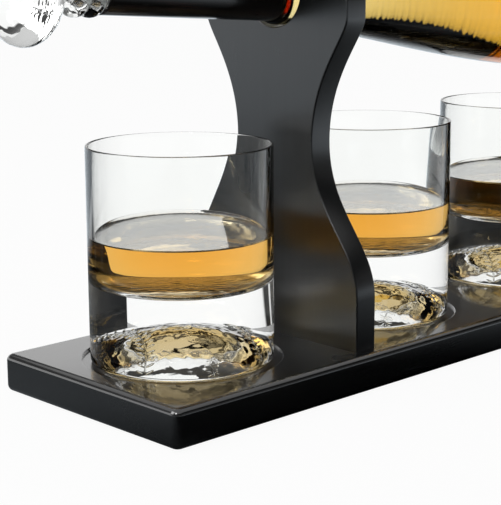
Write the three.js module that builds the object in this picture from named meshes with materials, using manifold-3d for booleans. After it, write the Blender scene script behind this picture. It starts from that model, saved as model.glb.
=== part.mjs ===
// A whisky decanter set: a bat-shaped glass decanter with its stopper and dark grip, lying in the
// notches of two waisted uprights, on a long board with four tumblers in shallow round seats.
// Millimetres, +Z up. The origin is the middle of the set, on the surface that it stands on.
// +X runs along the board to the closed barrel end of the decanter, and -Y is the front.

import * as THREE from 'three';
import { mergeVertices } from 'three/addons/utils/BufferGeometryUtils.js';
import Module from 'manifold-3d';

const wasm = await Module();
wasm.setup();

// Clearances and tolerances
const FIT_GAP = 0.3; // between pieces that seat on or in each other
const CUT_OVERRUN = 8; // how far a cutter passes the face that it cuts
const SAME_POINT = 0.002; // outline points nearer than this are one point

// Board
const BOARD_LENGTH = 464;
const BOARD_WIDTH = 115.6;
const BOARD_THICKNESS = 16.8;
const BOARD_CORNER_RADIUS = 4;
const BOARD_EDGE_RADIUS = 3;
const PAD_RADIUS = 6.5;
const PAD_HEIGHT = 1.2;
const PAD_INSET = 22; // from the board's ends and sides to a pad's centre
const TUMBLER_END_DISTANCE = 54; // from a board end to the nearest tumbler's axis
const TUMBLER_COUNT = 4;
const SEAT_CLEARANCE = 3.8; // room round a tumbler's foot in its seat
const SEAT_DEPTH = 1.2;

// Uprights, with heights above the board's top
const UPRIGHT_PLACE_SHARE = 0.5225; // of the way from an end tumbler's axis to the next one's
const UPRIGHT_THICKNESS = 12;
const UPRIGHT_EDGE_RADIUS = 0.8;
const FOOT_HALF_WIDTH = 51.5;
const FOOT_SIDE_HEIGHT = 23;
const WAIST_HALF_WIDTH = 23.7;
const NECK_WAIST_HEIGHT = 90;
const NECK_EAR_HALF_WIDTH = 44.3;
const NECK_EAR_HEIGHT = 145;
const NECK_NOTCH_RADIUS = 16.4;
const NECK_NOTCH_HEIGHT = 139.35; // of the notch's lowest line
const BARREL_WAIST_DROP = 31; // from the barrel notch's lowest line down to the waist
const BARREL_EAR_RISE = 24; // from that line up to where the ears' sides turn upright
const BARREL_EAR_WIDTH = 13.5; // wood beside the widest part of the barrel notch
const BARREL_SIDE_ROOM = 2.2; // between the barrel and the notch's side
const EAR_CORNER_RADIUS = 4;
// Handles of the waisted sides' curves, as shares of each curve's height
const FOOT_HANDLE_SHARE = 0.36;
const WAIST_LOWER_HANDLE_SHARE = 0.48;
const WAIST_UPPER_HANDLE_SHARE = 0.54;
const EAR_HANDLE_SHARE = 0.16;

// Screws that hold the uprights from below
const SCREW_RADIUS = 2;
const SCREW_HEAD_RADIUS = 4;
const SCREW_HEAD_HEIGHT = 2.4;
const SCREW_HEAD_RIM = 0.4;
const SCREW_TIP = 3;
const SCREW_LENGTH = 32;
const SCREW_SINK = 0.8; // from the board's underside up to the head
const SCREW_SPACING = 56;

// Tumblers
const TUMBLER_RADIUS_SHARE = 0.33708; // of the distance between two tumblers' axes
const TUMBLER_HEIGHT = 93.8;
const TUMBLER_RIM_WALL = 1.2;
const TUMBLER_WALL = 2.4;
const TUMBLER_WALL_HEIGHT = 58; // where the wall reaches its full thickness
const TUMBLER_FLOOR_HEIGHT = 33;
const TUMBLER_FLOOR_ROUND = 12;
const TUMBLER_FOOT_ROUND = 2.2;
const TUMBLER_FOOT_WIDTH = 8; // of the ring that it stands on, round the hollow under the foot
const TUMBLER_DOME_HEIGHT = 19;

// Decanter, with radii and with distances along its own axis
const BAT_TILT = THREE.MathUtils.degToRad(2.8); // the knob end lies higher
const BARREL_OVERHANG = 36; // of the closed end past the board's end
const BARREL_RADIUS = 34;
const BARREL_WALL = 2.8;
const BARREL_END_DEPTH = 30;
const BARREL_LAND_MARGIN = 10; // of full barrel on the neck side of its upright
const SHOULDER_RADIUS = 12.65;
const SHOULDER_ROUND = 2.4;
const SHOULDER_MARGIN = 1; // of full shoulder on each side of its upright
const SHOULDER_WALL = 2.6;
const NECK_RADIUS = 7.6;
const NECK_BORE_RADIUS = 6;
const NECK_BORE_FLARE = 12; // length over which the bore opens into the shoulder
const MOUTH_CHAMFER = 0.7;
const BEAD_TOP_RADIUS = 10.6;
const MOUTH_BEAD_ROUND = 3.8;
const INNER_BEAD_ROUND = 4;
const BEAD_SPACING = 7.7;
// The flank's curve from shoulder to barrel: its handles, as shares of its length and of its rise
const FLANK_START_LENGTH_SHARE = 0.247;
const FLANK_START_RISE_SHARE = 0.204;
const FLANK_END_LENGTH_SHARE = 0.42;

// Grip round the neck
const GRIP_LENGTH = 96.5;
const GRIP_MOUTH_RADIUS = 9.45;
const GRIP_SHOULDER_RADIUS = 11.05;
const GRIP_END_ROUND = 1;

// Stopper
const KNOB_RADIUS = 22.2;
const KNOB_HALF_THICKNESS = 12.5;
const KNOB_STANDOFF = 20.1; // from the mouth's face out to the knob's middle
const KNOB_FILLET = 2.4;
const STOPPER_NECK_RADIUS = 4;
const PLUG_RADIUS = 4.8;
const PLUG_LENGTH = 22;
const PLUG_ENTRY = 2; // from the mouth's face in to where the plug reaches its full radius
const RING_SECTION_RADIUS = 0.9;
const GROOVE_DEPTH_SHARE = 0.25; // of the plug's radius
const RING_PLACE_SHARES = [0.32, 0.72]; // of the plug's length, from the mouth's face

// Facets
const TURN_SEGMENTS = 32;
const BOTTLE_SEGMENTS = 32;
const SMALL_SEGMENTS = 24;
const ROUND_STEPS = 3;
const ARC_STEPS = 4;
const CURVE_STEPS = 8;
const BEAD_STEPS = 6;
const NOTCH_STEPS = 18;

// Levels and places that follow from the dimensions above
const boardBottom = PAD_HEIGHT;
const boardTop = boardBottom + BOARD_THICKNESS;
const seatFloor = boardTop - SEAT_DEPTH;
const firstTumblerX = TUMBLER_END_DISTANCE - BOARD_LENGTH / 2;
const tumblerPitch = (BOARD_LENGTH - 2 * TUMBLER_END_DISTANCE) / (TUMBLER_COUNT - 1);
const tumblerRadius = TUMBLER_RADIUS_SHARE * tumblerPitch;
const neckUprightX = firstTumblerX + UPRIGHT_PLACE_SHARE * tumblerPitch;
const barrelUprightX = -neckUprightX;
const tilt = { cos: Math.cos(BAT_TILT), sin: Math.sin(BAT_TILT), tan: Math.tan(BAT_TILT) };

// The decanter's axis clears each notch by the fit gap on the side where it lies lower
const halfThickness = UPRIGHT_THICKNESS / 2;
const neckAxisHeight =
  boardTop + NECK_NOTCH_HEIGHT + FIT_GAP + SHOULDER_RADIUS / tilt.cos + halfThickness * tilt.tan;
const uprightSpan = barrelUprightX - neckUprightX;
const barrelAxisHeight = neckAxisHeight - (uprightSpan + halfThickness) * tilt.tan;
const barrelNotchHeight = barrelAxisHeight - BARREL_RADIUS / tilt.cos - FIT_GAP - boardTop;

// Places along the decanter's axis, from the middle of the neck's upright
const barrelEnd = (BOARD_LENGTH / 2 + BARREL_OVERHANG - neckUprightX) / tilt.cos;
const shoulderHalf = halfThickness + SHOULDER_MARGIN;
const shoulderFace = -shoulderHalf;
const flareStart = shoulderFace - NECK_BORE_FLARE / 2;
const gripShoulderEnd = shoulderFace - FIT_GAP;
const gripMouthEnd = gripShoulderEnd - GRIP_LENGTH;
const innerBead = gripMouthEnd - FIT_GAP - INNER_BEAD_ROUND;
const mouthBead = innerBead - BEAD_SPACING;
const mouthFace = mouthBead - MOUTH_BEAD_ROUND;
const knobCentre = mouthFace - KNOB_STANDOFF;
const barrelStart = uprightSpan / tilt.cos - BARREL_LAND_MARGIN;

const HALF_TURN = Math.PI;
const QUARTER_TURN = Math.PI / 2;

function material(color, roughness, metalness = 0) {
  return new THREE.MeshStandardMaterial({ color, roughness, metalness });
}

function glass() {
  const clear = material(0xe9efef, 0.03);
  clear.transparent = true;
  clear.opacity = 0.35;
  return clear;
}

function point(x, y) {
  return new THREE.Vector2(x, y);
}

// Points along an ellipse's arc, from one angle to another
function arc(centre, radiusX, radiusY, from, to, steps) {
  const curve = new THREE.EllipseCurve(centre.x, centre.y, radiusX, radiusY, from, to, to < from);
  return curve.getPoints(steps);
}

function bezier(start, startHandle, endHandle, end, steps) {
  return new THREE.CubicBezierCurve(start, startHandle, endHandle, end).getPoints(steps);
}

function withoutRepeats(points) {
  return points.filter((p, i) => i === 0 || p.distanceTo(points[i - 1]) > SAME_POINT);
}

// A geometry with shared vertices and without the collapsed triangles at a lathe's axis
function closed(geometry) {
  geometry.deleteAttribute('normal');
  geometry.deleteAttribute('uv');
  const merged = mergeVertices(geometry, SAME_POINT / 2);
  const kept = [];
  const index = merged.index.array;
  for (let i = 0; i < index.length; i += 3) {
    const [a, b, c] = index.slice(i, i + 3);
    if (a !== b && b !== c && c !== a) kept.push(a, b, c);
  }
  merged.setIndex(kept);
  return merged;
}

function toSolid(geometry) {
  const shape = closed(geometry);
  const vertProperties = new Float32Array(shape.attributes.position.array);
  const triVerts = new Uint32Array(shape.index.array);
  return new wasm.Manifold(new wasm.Mesh({ numProp: 3, vertProperties, triVerts }));
}

function toGeometry(solid) {
  const mesh = solid.getMesh();
  const geometry = new THREE.BufferGeometry();
  geometry.setAttribute('position', new THREE.BufferAttribute(mesh.vertProperties, 3));
  geometry.setIndex(new THREE.BufferAttribute(mesh.triVerts, 1));
  return geometry;
}

function cut(geometry, cutters) {
  let solid = toSolid(geometry);
  for (const cutter of cutters) solid = solid.subtract(toSolid(cutter));
  return toGeometry(solid);
}

// A profile of radius and height, turned round +Z
function turned(profile, segments) {
  const lathe = new THREE.LatheGeometry(withoutRepeats(profile), segments);
  return closed(lathe.rotateX(QUARTER_TURN));
}

function roundBar(radius, from, to, segments) {
  const bar = new THREE.CylinderGeometry(radius, radius, to - from, segments);
  return bar.rotateX(QUARTER_TURN).translate(0, 0, (from + to) / 2);
}

function piece(name, geometry, finish) {
  const mesh = new THREE.Mesh(geometry, finish);
  mesh.name = name;
  return mesh;
}

// Screw, with its head at z = 0 and its tip up; grow makes the hole that it fits
function screwProfile(grow) {
  const head = SCREW_HEAD_RADIUS + grow;
  const shank = SCREW_RADIUS + grow;
  return [
    point(0, grow > 0 ? -CUT_OVERRUN : 0),
    point(head, grow > 0 ? -CUT_OVERRUN : 0),
    point(head, SCREW_HEAD_RIM + grow),
    point(shank, SCREW_HEAD_HEIGHT + grow),
    point(shank, SCREW_LENGTH - SCREW_TIP + grow),
    point(0, SCREW_LENGTH + grow),
  ];
}

function screwPlaces(uprightX) {
  const height = boardBottom + SCREW_SINK;
  return [-1, 1].map((side) => new THREE.Vector3(uprightX, (side * SCREW_SPACING) / 2, height));
}

function screwHoles(uprightX) {
  return screwPlaces(uprightX).map((place) =>
    turned(screwProfile(FIT_GAP), SMALL_SEGMENTS).translate(place.x, place.y, place.z),
  );
}

function screws(label, uprightX) {
  const steel = material(0xb9bcc0, 0.35, 0.9);
  return screwPlaces(uprightX).map((place) => {
    const side = place.y < 0 ? 'front' : 'back';
    const screw = piece(`${label}_screw_${side}`, turned(screwProfile(0), SMALL_SEGMENTS), steel);
    screw.position.copy(place);
    return screw;
  });
}

// A rectangle's outline with rounded corners, centred on the origin
function roundedRectangle(length, width, radius) {
  const x = length / 2 - radius;
  const y = width / 2 - radius;
  const corners = [point(x, y), point(-x, y), point(-x, -y), point(x, -y)];
  return corners.flatMap((corner, i) =>
    arc(corner, radius, radius, i * QUARTER_TURN, (i + 1) * QUARTER_TURN, ROUND_STEPS),
  );
}

function tumblerPlaces() {
  return Array.from({ length: TUMBLER_COUNT }, (_, i) => firstTumblerX + i * tumblerPitch);
}

// A plate with rounded edges: the outline is its full size, and it lies between z = 0 and thickness
function roundedPlate(outline, thickness, edgeRadius) {
  return new THREE.ExtrudeGeometry(new THREE.Shape(withoutRepeats(outline)), {
    depth: thickness - 2 * edgeRadius,
    bevelEnabled: true,
    bevelThickness: edgeRadius,
    bevelSize: edgeRadius,
    bevelOffset: -edgeRadius,
    bevelSegments: ROUND_STEPS,
  }).translate(0, 0, edgeRadius);
}

// Board with four round seats on top and the countersunk screw holes from below
function baseBoard() {
  const outline = roundedRectangle(BOARD_LENGTH, BOARD_WIDTH, BOARD_CORNER_RADIUS);
  const plate = roundedPlate(outline, BOARD_THICKNESS, BOARD_EDGE_RADIUS);
  const seatRadius = tumblerRadius + SEAT_CLEARANCE;
  const seats = tumblerPlaces().map((x) =>
    roundBar(seatRadius, seatFloor, boardTop + CUT_OVERRUN, TURN_SEGMENTS).translate(x, 0, 0),
  );
  const holes = [...screwHoles(neckUprightX), ...screwHoles(barrelUprightX)];
  return piece(
    'base_board',
    cut(plate.translate(0, 0, boardBottom), [...seats, ...holes]),
    material(0x16181a, 0.38),
  );
}

function footPads() {
  const rubber = material(0x2b2b2b, 0.85);
  const x = BOARD_LENGTH / 2 - PAD_INSET;
  const y = BOARD_WIDTH / 2 - PAD_INSET;
  const places = [point(-x, -y), point(x, -y), point(x, y), point(-x, y)];
  return places.map((place, i) => {
    const pad = roundBar(PAD_RADIUS, 0, PAD_HEIGHT, SMALL_SEGMENTS);
    const mesh = piece(`foot_pad_${i + 1}`, pad, rubber);
    mesh.position.set(place.x, place.y, 0);
    return mesh;
  });
}

// One waisted side of an upright, from its foot up to the top of its ear
function uprightSide({ waistHeight, earHalfWidth, earHeight, topHeight }) {
  const lowerRise = waistHeight - FOOT_SIDE_HEIGHT;
  const upperRise = earHeight - waistHeight;
  const corner = point(earHalfWidth - EAR_CORNER_RADIUS, topHeight - EAR_CORNER_RADIUS);
  return [
    point(FOOT_HALF_WIDTH, -CUT_OVERRUN),
    ...bezier(
      point(FOOT_HALF_WIDTH, FOOT_SIDE_HEIGHT),
      point(FOOT_HALF_WIDTH, FOOT_SIDE_HEIGHT + FOOT_HANDLE_SHARE * lowerRise),
      point(WAIST_HALF_WIDTH, waistHeight - WAIST_LOWER_HANDLE_SHARE * lowerRise),
      point(WAIST_HALF_WIDTH, waistHeight),
      CURVE_STEPS,
    ),
    ...bezier(
      point(WAIST_HALF_WIDTH, waistHeight),
      point(WAIST_HALF_WIDTH, waistHeight + WAIST_UPPER_HANDLE_SHARE * upperRise),
      point(earHalfWidth, earHeight - EAR_HANDLE_SHARE * upperRise),
      point(earHalfWidth, earHeight),
      CURVE_STEPS,
    ),
    ...arc(corner, EAR_CORNER_RADIUS, EAR_CORNER_RADIUS, 0, QUARTER_TURN, ROUND_STEPS),
  ];
}

// Upright with a half-round notch between two ears that end level with the notch's centre
function upright(name, x, { notchRadius, notchHeight, ...side }) {
  const topHeight = notchHeight + notchRadius;
  const right = uprightSide({ ...side, topHeight });
  const left = right.map((p) => point(-p.x, p.y)).reverse();
  const notch = arc(point(0, topHeight), notchRadius, notchRadius, 0, -HALF_TURN, NOTCH_STEPS);
  const outline = [...right, ...notch, ...left];
  const plate = roundedPlate(outline, UPRIGHT_THICKNESS, UPRIGHT_EDGE_RADIUS);
  const upright = new THREE.Matrix4().makeBasis(
    new THREE.Vector3(0, 1, 0),
    new THREE.Vector3(0, 0, 1),
    new THREE.Vector3(1, 0, 0),
  );
  plate.applyMatrix4(upright).translate(x - halfThickness, 0, boardTop);
  const below = new THREE.BoxGeometry(
    UPRIGHT_THICKNESS + CUT_OVERRUN,
    2 * (FOOT_HALF_WIDTH + CUT_OVERRUN),
    2 * CUT_OVERRUN,
  ).translate(x, 0, boardTop - CUT_OVERRUN);
  return piece(name, cut(plate, [below, ...screwHoles(x)]), material(0x1b1e21, 0.4));
}

function neckUpright() {
  return upright('neck_upright', neckUprightX, {
    waistHeight: NECK_WAIST_HEIGHT,
    earHalfWidth: NECK_EAR_HALF_WIDTH,
    earHeight: NECK_EAR_HEIGHT,
    notchRadius: NECK_NOTCH_RADIUS,
    notchHeight: NECK_NOTCH_HEIGHT,
  });
}

function barrelUpright() {
  const notchRadius = BARREL_RADIUS + BARREL_SIDE_ROOM;
  return upright('barrel_upright', barrelUprightX, {
    waistHeight: barrelNotchHeight - BARREL_WAIST_DROP,
    earHalfWidth: notchRadius + BARREL_EAR_WIDTH,
    earHeight: barrelNotchHeight + BARREL_EAR_RISE,
    notchRadius,
    notchHeight: barrelNotchHeight,
  });
}

// Tumbler with a thick foot, domed underneath, and a straight wall that thins to the rim
function tumblerProfile() {
  const domeRadius = tumblerRadius - TUMBLER_FOOT_WIDTH;
  const sphere = (domeRadius ** 2 + TUMBLER_DOME_HEIGHT ** 2) / (2 * TUMBLER_DOME_HEIGHT);
  const domeAngle = Math.asin((sphere - TUMBLER_DOME_HEIGHT) / sphere);
  const dome = point(0, TUMBLER_DOME_HEIGHT - sphere);
  const foot = point(tumblerRadius - TUMBLER_FOOT_ROUND, TUMBLER_FOOT_ROUND);
  const lip = TUMBLER_RIM_WALL / 2;
  const rim = point(tumblerRadius - lip, TUMBLER_HEIGHT - lip);
  const inner = tumblerRadius - TUMBLER_WALL;
  const floorRound = TUMBLER_FLOOR_ROUND;
  const floor = point(inner - floorRound, TUMBLER_FLOOR_HEIGHT + floorRound);
  return [
    ...arc(dome, sphere, sphere, QUARTER_TURN, domeAngle, ARC_STEPS),
    ...arc(foot, TUMBLER_FOOT_ROUND, TUMBLER_FOOT_ROUND, -QUARTER_TURN, 0, ROUND_STEPS),
    ...arc(rim, lip, lip, 0, HALF_TURN, ROUND_STEPS),
    point(inner, TUMBLER_WALL_HEIGHT),
    ...arc(floor, floorRound, floorRound, 0, -QUARTER_TURN, ARC_STEPS),
    point(0, TUMBLER_FLOOR_HEIGHT),
  ];
}

function tumblers() {
  return tumblerPlaces().map((x, i) => {
    const tumbler = piece(`tumbler_${i + 1}`, turned(tumblerProfile(), TURN_SEGMENTS), glass());
    tumbler.position.set(x, 0, seatFloor + FIT_GAP);
    return tumbler;
  });
}

// The decanter's flank from the shoulder to the full barrel, inset by a wall at each end
function flank(shoulderInset, barrelInset) {
  const length = barrelStart - shoulderHalf;
  const startRadius = SHOULDER_RADIUS - shoulderInset;
  const endRadius = BARREL_RADIUS - barrelInset;
  const rise = endRadius - startRadius;
  return bezier(
    point(startRadius, shoulderHalf),
    point(
      startRadius + FLANK_START_RISE_SHARE * rise,
      shoulderHalf + FLANK_START_LENGTH_SHARE * length,
    ),
    point(endRadius, barrelStart - FLANK_END_LENGTH_SHARE * length),
    point(endRadius, barrelStart),
    CURVE_STEPS,
  );
}

// The closed end of the barrel, from its side to the axis
function barrelDome(inset, steps) {
  const centre = point(0, barrelEnd - BARREL_END_DEPTH);
  return arc(centre, BARREL_RADIUS - inset, BARREL_END_DEPTH - inset, 0, QUARTER_TURN, steps);
}

// Where two neighbouring beads meet, as the angle from each one's middle plane
function beadMeetingAngle(round) {
  return Math.asin(BEAD_SPACING / 2 / round);
}

// The bore, from where it opens inside the shoulder to the mouth
function neckInside() {
  return [
    point(NECK_BORE_RADIUS, flareStart),
    point(NECK_BORE_RADIUS, mouthFace + MOUTH_CHAMFER),
    point(NECK_BORE_RADIUS + MOUTH_CHAMFER, mouthFace),
  ];
}

// Two beads at the mouth and the straight neck
function neckOutside() {
  const mouthBeadCentre = point(BEAD_TOP_RADIUS - MOUTH_BEAD_ROUND, mouthBead);
  const innerBeadCentre = point(BEAD_TOP_RADIUS - INNER_BEAD_ROUND, innerBead);
  const beadFoot = Math.acos((NECK_RADIUS - innerBeadCentre.x) / INNER_BEAD_ROUND);
  const meeting = beadMeetingAngle(Math.max(MOUTH_BEAD_ROUND, BEAD_SPACING / 2));
  const innerMeeting = beadMeetingAngle(Math.max(INNER_BEAD_ROUND, BEAD_SPACING / 2));
  return [
    ...arc(mouthBeadCentre, MOUTH_BEAD_ROUND, MOUTH_BEAD_ROUND, -QUARTER_TURN, meeting, BEAD_STEPS),
    ...arc(innerBeadCentre, INNER_BEAD_ROUND, INNER_BEAD_ROUND, -innerMeeting, beadFoot, BEAD_STEPS),
    point(NECK_RADIUS, flareStart),
  ];
}

// The shoulder's opening bore and the flank's inside, from the barrel to the neck
function flankInside() {
  const innerShoulder = SHOULDER_RADIUS - SHOULDER_WALL;
  const flareMiddle = flareStart + NECK_BORE_FLARE / 2;
  return [
    ...flank(SHOULDER_WALL, BARREL_WALL).reverse(),
    ...bezier(
      point(innerShoulder, flareStart + NECK_BORE_FLARE),
      point(innerShoulder, flareMiddle),
      point(NECK_BORE_RADIUS, flareMiddle),
      point(NECK_BORE_RADIUS, flareStart),
      ARC_STEPS,
    ),
  ];
}

function flankOutside() {
  const corner = point(SHOULDER_RADIUS - SHOULDER_ROUND, shoulderFace + SHOULDER_ROUND);
  return [
    point(NECK_RADIUS, flareStart),
    point(NECK_RADIUS, shoulderFace),
    ...arc(corner, SHOULDER_ROUND, SHOULDER_ROUND, -QUARTER_TURN, 0, ROUND_STEPS),
    ...flank(0, 0),
  ];
}

// The bottle is one glass, given as three lengths that meet at flat rings, so that collision
// can follow its long hollow: the neck, the flank with the shoulder, and the barrel
function bottle() {
  const neck = [...neckInside(), ...neckOutside(), point(NECK_BORE_RADIUS, flareStart)];
  const flankStart = point(BARREL_RADIUS - BARREL_WALL, barrelStart);
  const flankWall = [...flankInside(), ...flankOutside(), flankStart];
  const barrel = [
    ...barrelDome(BARREL_WALL, ARC_STEPS + 1).reverse(),
    flankStart,
    point(BARREL_RADIUS, barrelStart),
    ...barrelDome(0, ARC_STEPS + 2),
  ];
  return [
    piece('bottle_neck', turned(neck, BOTTLE_SEGMENTS), glass()),
    piece('bottle_flank', turned(flankWall, BOTTLE_SEGMENTS), glass()),
    piece('bottle_barrel', turned(barrel, BOTTLE_SEGMENTS), glass()),
  ];
}

// Grip: a turned wooden sleeve split lengthwise, so that it closes round the neck
function gripHalf(name, side) {
  const inner = NECK_RADIUS + FIT_GAP;
  const round = GRIP_END_ROUND;
  const mouth = point(GRIP_MOUTH_RADIUS - round, gripMouthEnd + round);
  const shoulder = point(GRIP_SHOULDER_RADIUS - round, gripShoulderEnd - round);
  const sleeve = turned(
    [
      point(inner, gripMouthEnd),
      ...arc(mouth, round, round, -QUARTER_TURN, 0, ROUND_STEPS),
      ...arc(shoulder, round, round, 0, QUARTER_TURN, ROUND_STEPS),
      point(inner, gripShoulderEnd),
      point(inner, gripMouthEnd),
    ],
    2 * SMALL_SEGMENTS,
  );
  const width = 2 * (GRIP_SHOULDER_RADIUS + CUT_OVERRUN);
  const otherHalf = new THREE.BoxGeometry(width, width, GRIP_LENGTH + 2 * CUT_OVERRUN);
  const reach = (width - FIT_GAP) / 2;
  otherHalf.translate(0, -side * reach, (gripMouthEnd + gripShoulderEnd) / 2);
  return piece(name, cut(sleeve, [otherHalf]), material(0x1a1110, 0.3));
}

function grooveRadius() {
  return PLUG_RADIUS * (1 - GROOVE_DEPTH_SHARE);
}

function ringPlaces() {
  return RING_PLACE_SHARES.map((share) => mouthFace + share * PLUG_LENGTH);
}

// Stopper: a flattened glass knob, a thin neck and a plug with two ring grooves
function stopper() {
  const neckCorner = STOPPER_NECK_RADIUS + KNOB_FILLET;
  const knobFoot = Math.acos(neckCorner / KNOB_RADIUS);
  const knob = point(0, knobCentre);
  const knobFace = knobCentre + KNOB_HALF_THICKNESS * Math.sin(knobFoot);
  const fillet = point(neckCorner, knobFace + KNOB_FILLET);
  const grooveHalf = RING_SECTION_RADIUS + FIT_GAP;
  const grooves = ringPlaces().flatMap((place) => [
    point(PLUG_RADIUS, place - grooveHalf),
    point(grooveRadius(), place - grooveHalf),
    point(grooveRadius(), place + grooveHalf),
    point(PLUG_RADIUS, place + grooveHalf),
  ]);
  const plugEnd = mouthFace + PLUG_LENGTH;
  const profile = [
    ...arc(knob, KNOB_RADIUS, KNOB_HALF_THICKNESS, -QUARTER_TURN, 0, BEAD_STEPS),
    ...arc(knob, KNOB_RADIUS, KNOB_HALF_THICKNESS, 0, knobFoot, BEAD_STEPS),
    ...arc(fillet, KNOB_FILLET, KNOB_FILLET, -QUARTER_TURN, -HALF_TURN, ROUND_STEPS),
    point(STOPPER_NECK_RADIUS, mouthFace),
    point(PLUG_RADIUS, mouthFace + PLUG_ENTRY),
    ...grooves,
    point(PLUG_RADIUS, plugEnd - PLUG_ENTRY / 2),
    point(PLUG_RADIUS - PLUG_ENTRY / 2, plugEnd),
    point(0, plugEnd),
  ];
  return piece('stopper', turned(profile, SMALL_SEGMENTS), glass());
}

function stopperRings() {
  const silicone = material(0xd9dcdc, 0.6);
  const middle = grooveRadius() + FIT_GAP + RING_SECTION_RADIUS;
  return ringPlaces().map((place, i) => {
    const torus = new THREE.TorusGeometry(middle, RING_SECTION_RADIUS, BEAD_STEPS, SMALL_SEGMENTS);
    const ring = piece(`stopper_ring_${i + 1}`, torus, silicone);
    ring.position.z = place;
    return ring;
  });
}

// The decanter lies along its own axis, which points from the mouth to the barrel's end
function decanter() {
  const group = new THREE.Group();
  group.add(...bottle());
  group.add(gripHalf('grip_front_half', -1));
  group.add(gripHalf('grip_back_half', 1));
  group.add(stopper());
  group.add(...stopperRings());
  group.position.set(neckUprightX, 0, neckAxisHeight);
  group.rotation.y = QUARTER_TURN + BAT_TILT;
  return group;
}

const set = new THREE.Group();
set.add(baseBoard());
set.add(...footPads());
set.add(neckUpright(), barrelUpright());
set.add(...screws('neck', neckUprightX));
set.add(...screws('barrel', barrelUprightX));
set.add(...tumblers());
set.add(decanter());

export default set;
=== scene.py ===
"""Looks of a whisky decanter set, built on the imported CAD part.

A bat-shaped glass decanter lies in the notches of two black uprights on a long board, with four
tumblers of whisky in shallow seats. Everything is in the part's own frame: +X runs along the board
to the barrel's closed end, -Y is the front and z = 0 is what the set stands on. Sizes are in
millimetres unless a comment says otherwise, and become metres where a mesh is made.
"""

import logging
import math
from contextlib import contextmanager
from dataclasses import dataclass, field
from enum import Enum
from typing import Any, Callable, Iterable, Iterator, Optional, Sequence

import bmesh
import bpy
from mathutils import Matrix, Vector, noise


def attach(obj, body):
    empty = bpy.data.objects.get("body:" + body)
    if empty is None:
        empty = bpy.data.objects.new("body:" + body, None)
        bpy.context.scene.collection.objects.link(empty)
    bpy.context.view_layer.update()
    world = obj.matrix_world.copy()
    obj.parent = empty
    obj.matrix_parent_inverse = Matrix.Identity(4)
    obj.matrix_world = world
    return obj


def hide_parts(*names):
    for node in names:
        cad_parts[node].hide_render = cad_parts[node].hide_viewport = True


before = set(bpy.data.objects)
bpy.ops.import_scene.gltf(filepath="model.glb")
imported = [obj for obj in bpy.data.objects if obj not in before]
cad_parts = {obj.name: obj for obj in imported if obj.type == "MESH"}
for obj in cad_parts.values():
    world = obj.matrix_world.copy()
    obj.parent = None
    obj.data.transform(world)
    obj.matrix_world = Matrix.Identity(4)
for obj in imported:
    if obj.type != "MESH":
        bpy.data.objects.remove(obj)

MM = 0.001
FULL_TURN = 2 * math.pi
HALF_TURN = math.pi
QUARTER_TURN = math.pi / 2
SAME_POINT = 0.002  # profile points nearer than this are one point
ON_SURFACE = 0.01  # a point nearer than this to a surface lies on it
FIT_GAP = 0.3  # between pieces that seat on or in each other, as in the part's source
SHARP_DEGREES = 32.0  # an edge that bends more than this stays sharp
MITRE_LIMIT = 0.5  # least cosine between a plate's side and the way that its corner is inset
QUAD_CORNERS = 4
PAIR_SHARE = 0.45  # a pair's stitches lie this share of their length from the seam
SEAM_SHARE = 0.4  # the raised seam line's radius as a share of a stitch's width
USUAL_NOISE = (0.3, 0.7)  # most noise stays in this range
Pair = tuple[float, float]
Span = tuple[Pair, Pair]
Triple = tuple[float, float, float]
Node = bpy.types.Node
NodeTree = bpy.types.NodeTree
Socket = bpy.types.NodeSocket
Material = bpy.types.Material
Mesh = bpy.types.Mesh
log = logging.getLogger("decanter_set")


# Outlines


def arc(centre: Pair, radii: Pair, start: float, end: float, steps: int) -> list[Pair]:
    """Points along an ellipse's arc from a start to an end in radians, in so many chords."""
    angles = [start + (end - start) * i / steps for i in range(steps + 1)]
    return [(centre[0] + radii[0] * math.cos(a), centre[1] + radii[1] * math.sin(a)) for a in angles]


def bezier(corners: Sequence[Pair], steps: int) -> list[Pair]:
    """Points along a cubic Bezier curve.

    Args:
        corners: The start, its handle, the end's handle and the end.
        steps: How many chords the curve has.

    Returns:
        The points, both ends included.
    """
    points = []
    for i in range(steps + 1):
        t = i / steps
        weights = ((1 - t) ** 3, 3 * t * (1 - t) ** 2, 3 * t * t * (1 - t), t**3)
        points.append(tuple(sum(w * c[axis] for w, c in zip(weights, corners)) for axis in (0, 1)))
    return points


def without_repeats(points: Iterable[Pair]) -> list[Pair]:
    """Leaves out each point that lies on its neighbour.

    Args:
        points: A line's points.

    Returns:
        Those that are left.
    """
    kept: list[Pair] = []
    for p in points:
        if not kept or math.dist(p, kept[-1]) > SAME_POINT:
            kept.append(p)
    return kept


# Node trees


def linear(hex_colour: str) -> tuple[float, float, float, float]:
    """Turns an sRGB colour into the linear one that sockets hold.

    Args:
        hex_colour: The colour, such as "#1A1C1E".

    Returns:
        Its linear red, green and blue, and an alpha of 1.
    """
    values = [int(hex_colour[i : i + 2], 16) / 255 for i in (1, 3, 5)]
    rgb = [v / 12.92 if v <= 0.04045 else ((v + 0.055) / 1.055) ** 2.4 for v in values]
    return (*rgb, 1.0)


def fill(tree: NodeTree, node: Node, inputs: dict) -> None:
    """Gives a node's inputs their values and links.

    Args:
        tree: The tree that the node is in.
        node: The node.
        inputs: For each input's name or number, the value it holds or the socket that feeds it.
    """
    for name, value in inputs.items():
        if isinstance(value, Socket):
            tree.links.new(value, node.inputs[name])
        else:
            node.inputs[name].default_value = value


def add(tree: NodeTree, kind: str, inputs: Optional[dict] = None, **settings: Any) -> Node:
    """Adds a node with its settings, values and links.

    Args:
        tree: The node tree that gets it.
        kind: The node's type name.
        inputs: What its inputs hold or are fed by, as in fill.
        **settings: The node's own properties.

    Returns:
        The new node.
    """
    node = tree.nodes.new(kind)
    for name, value in settings.items():
        setattr(node, name, value)
    fill(tree, node, inputs or {})
    return node


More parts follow.
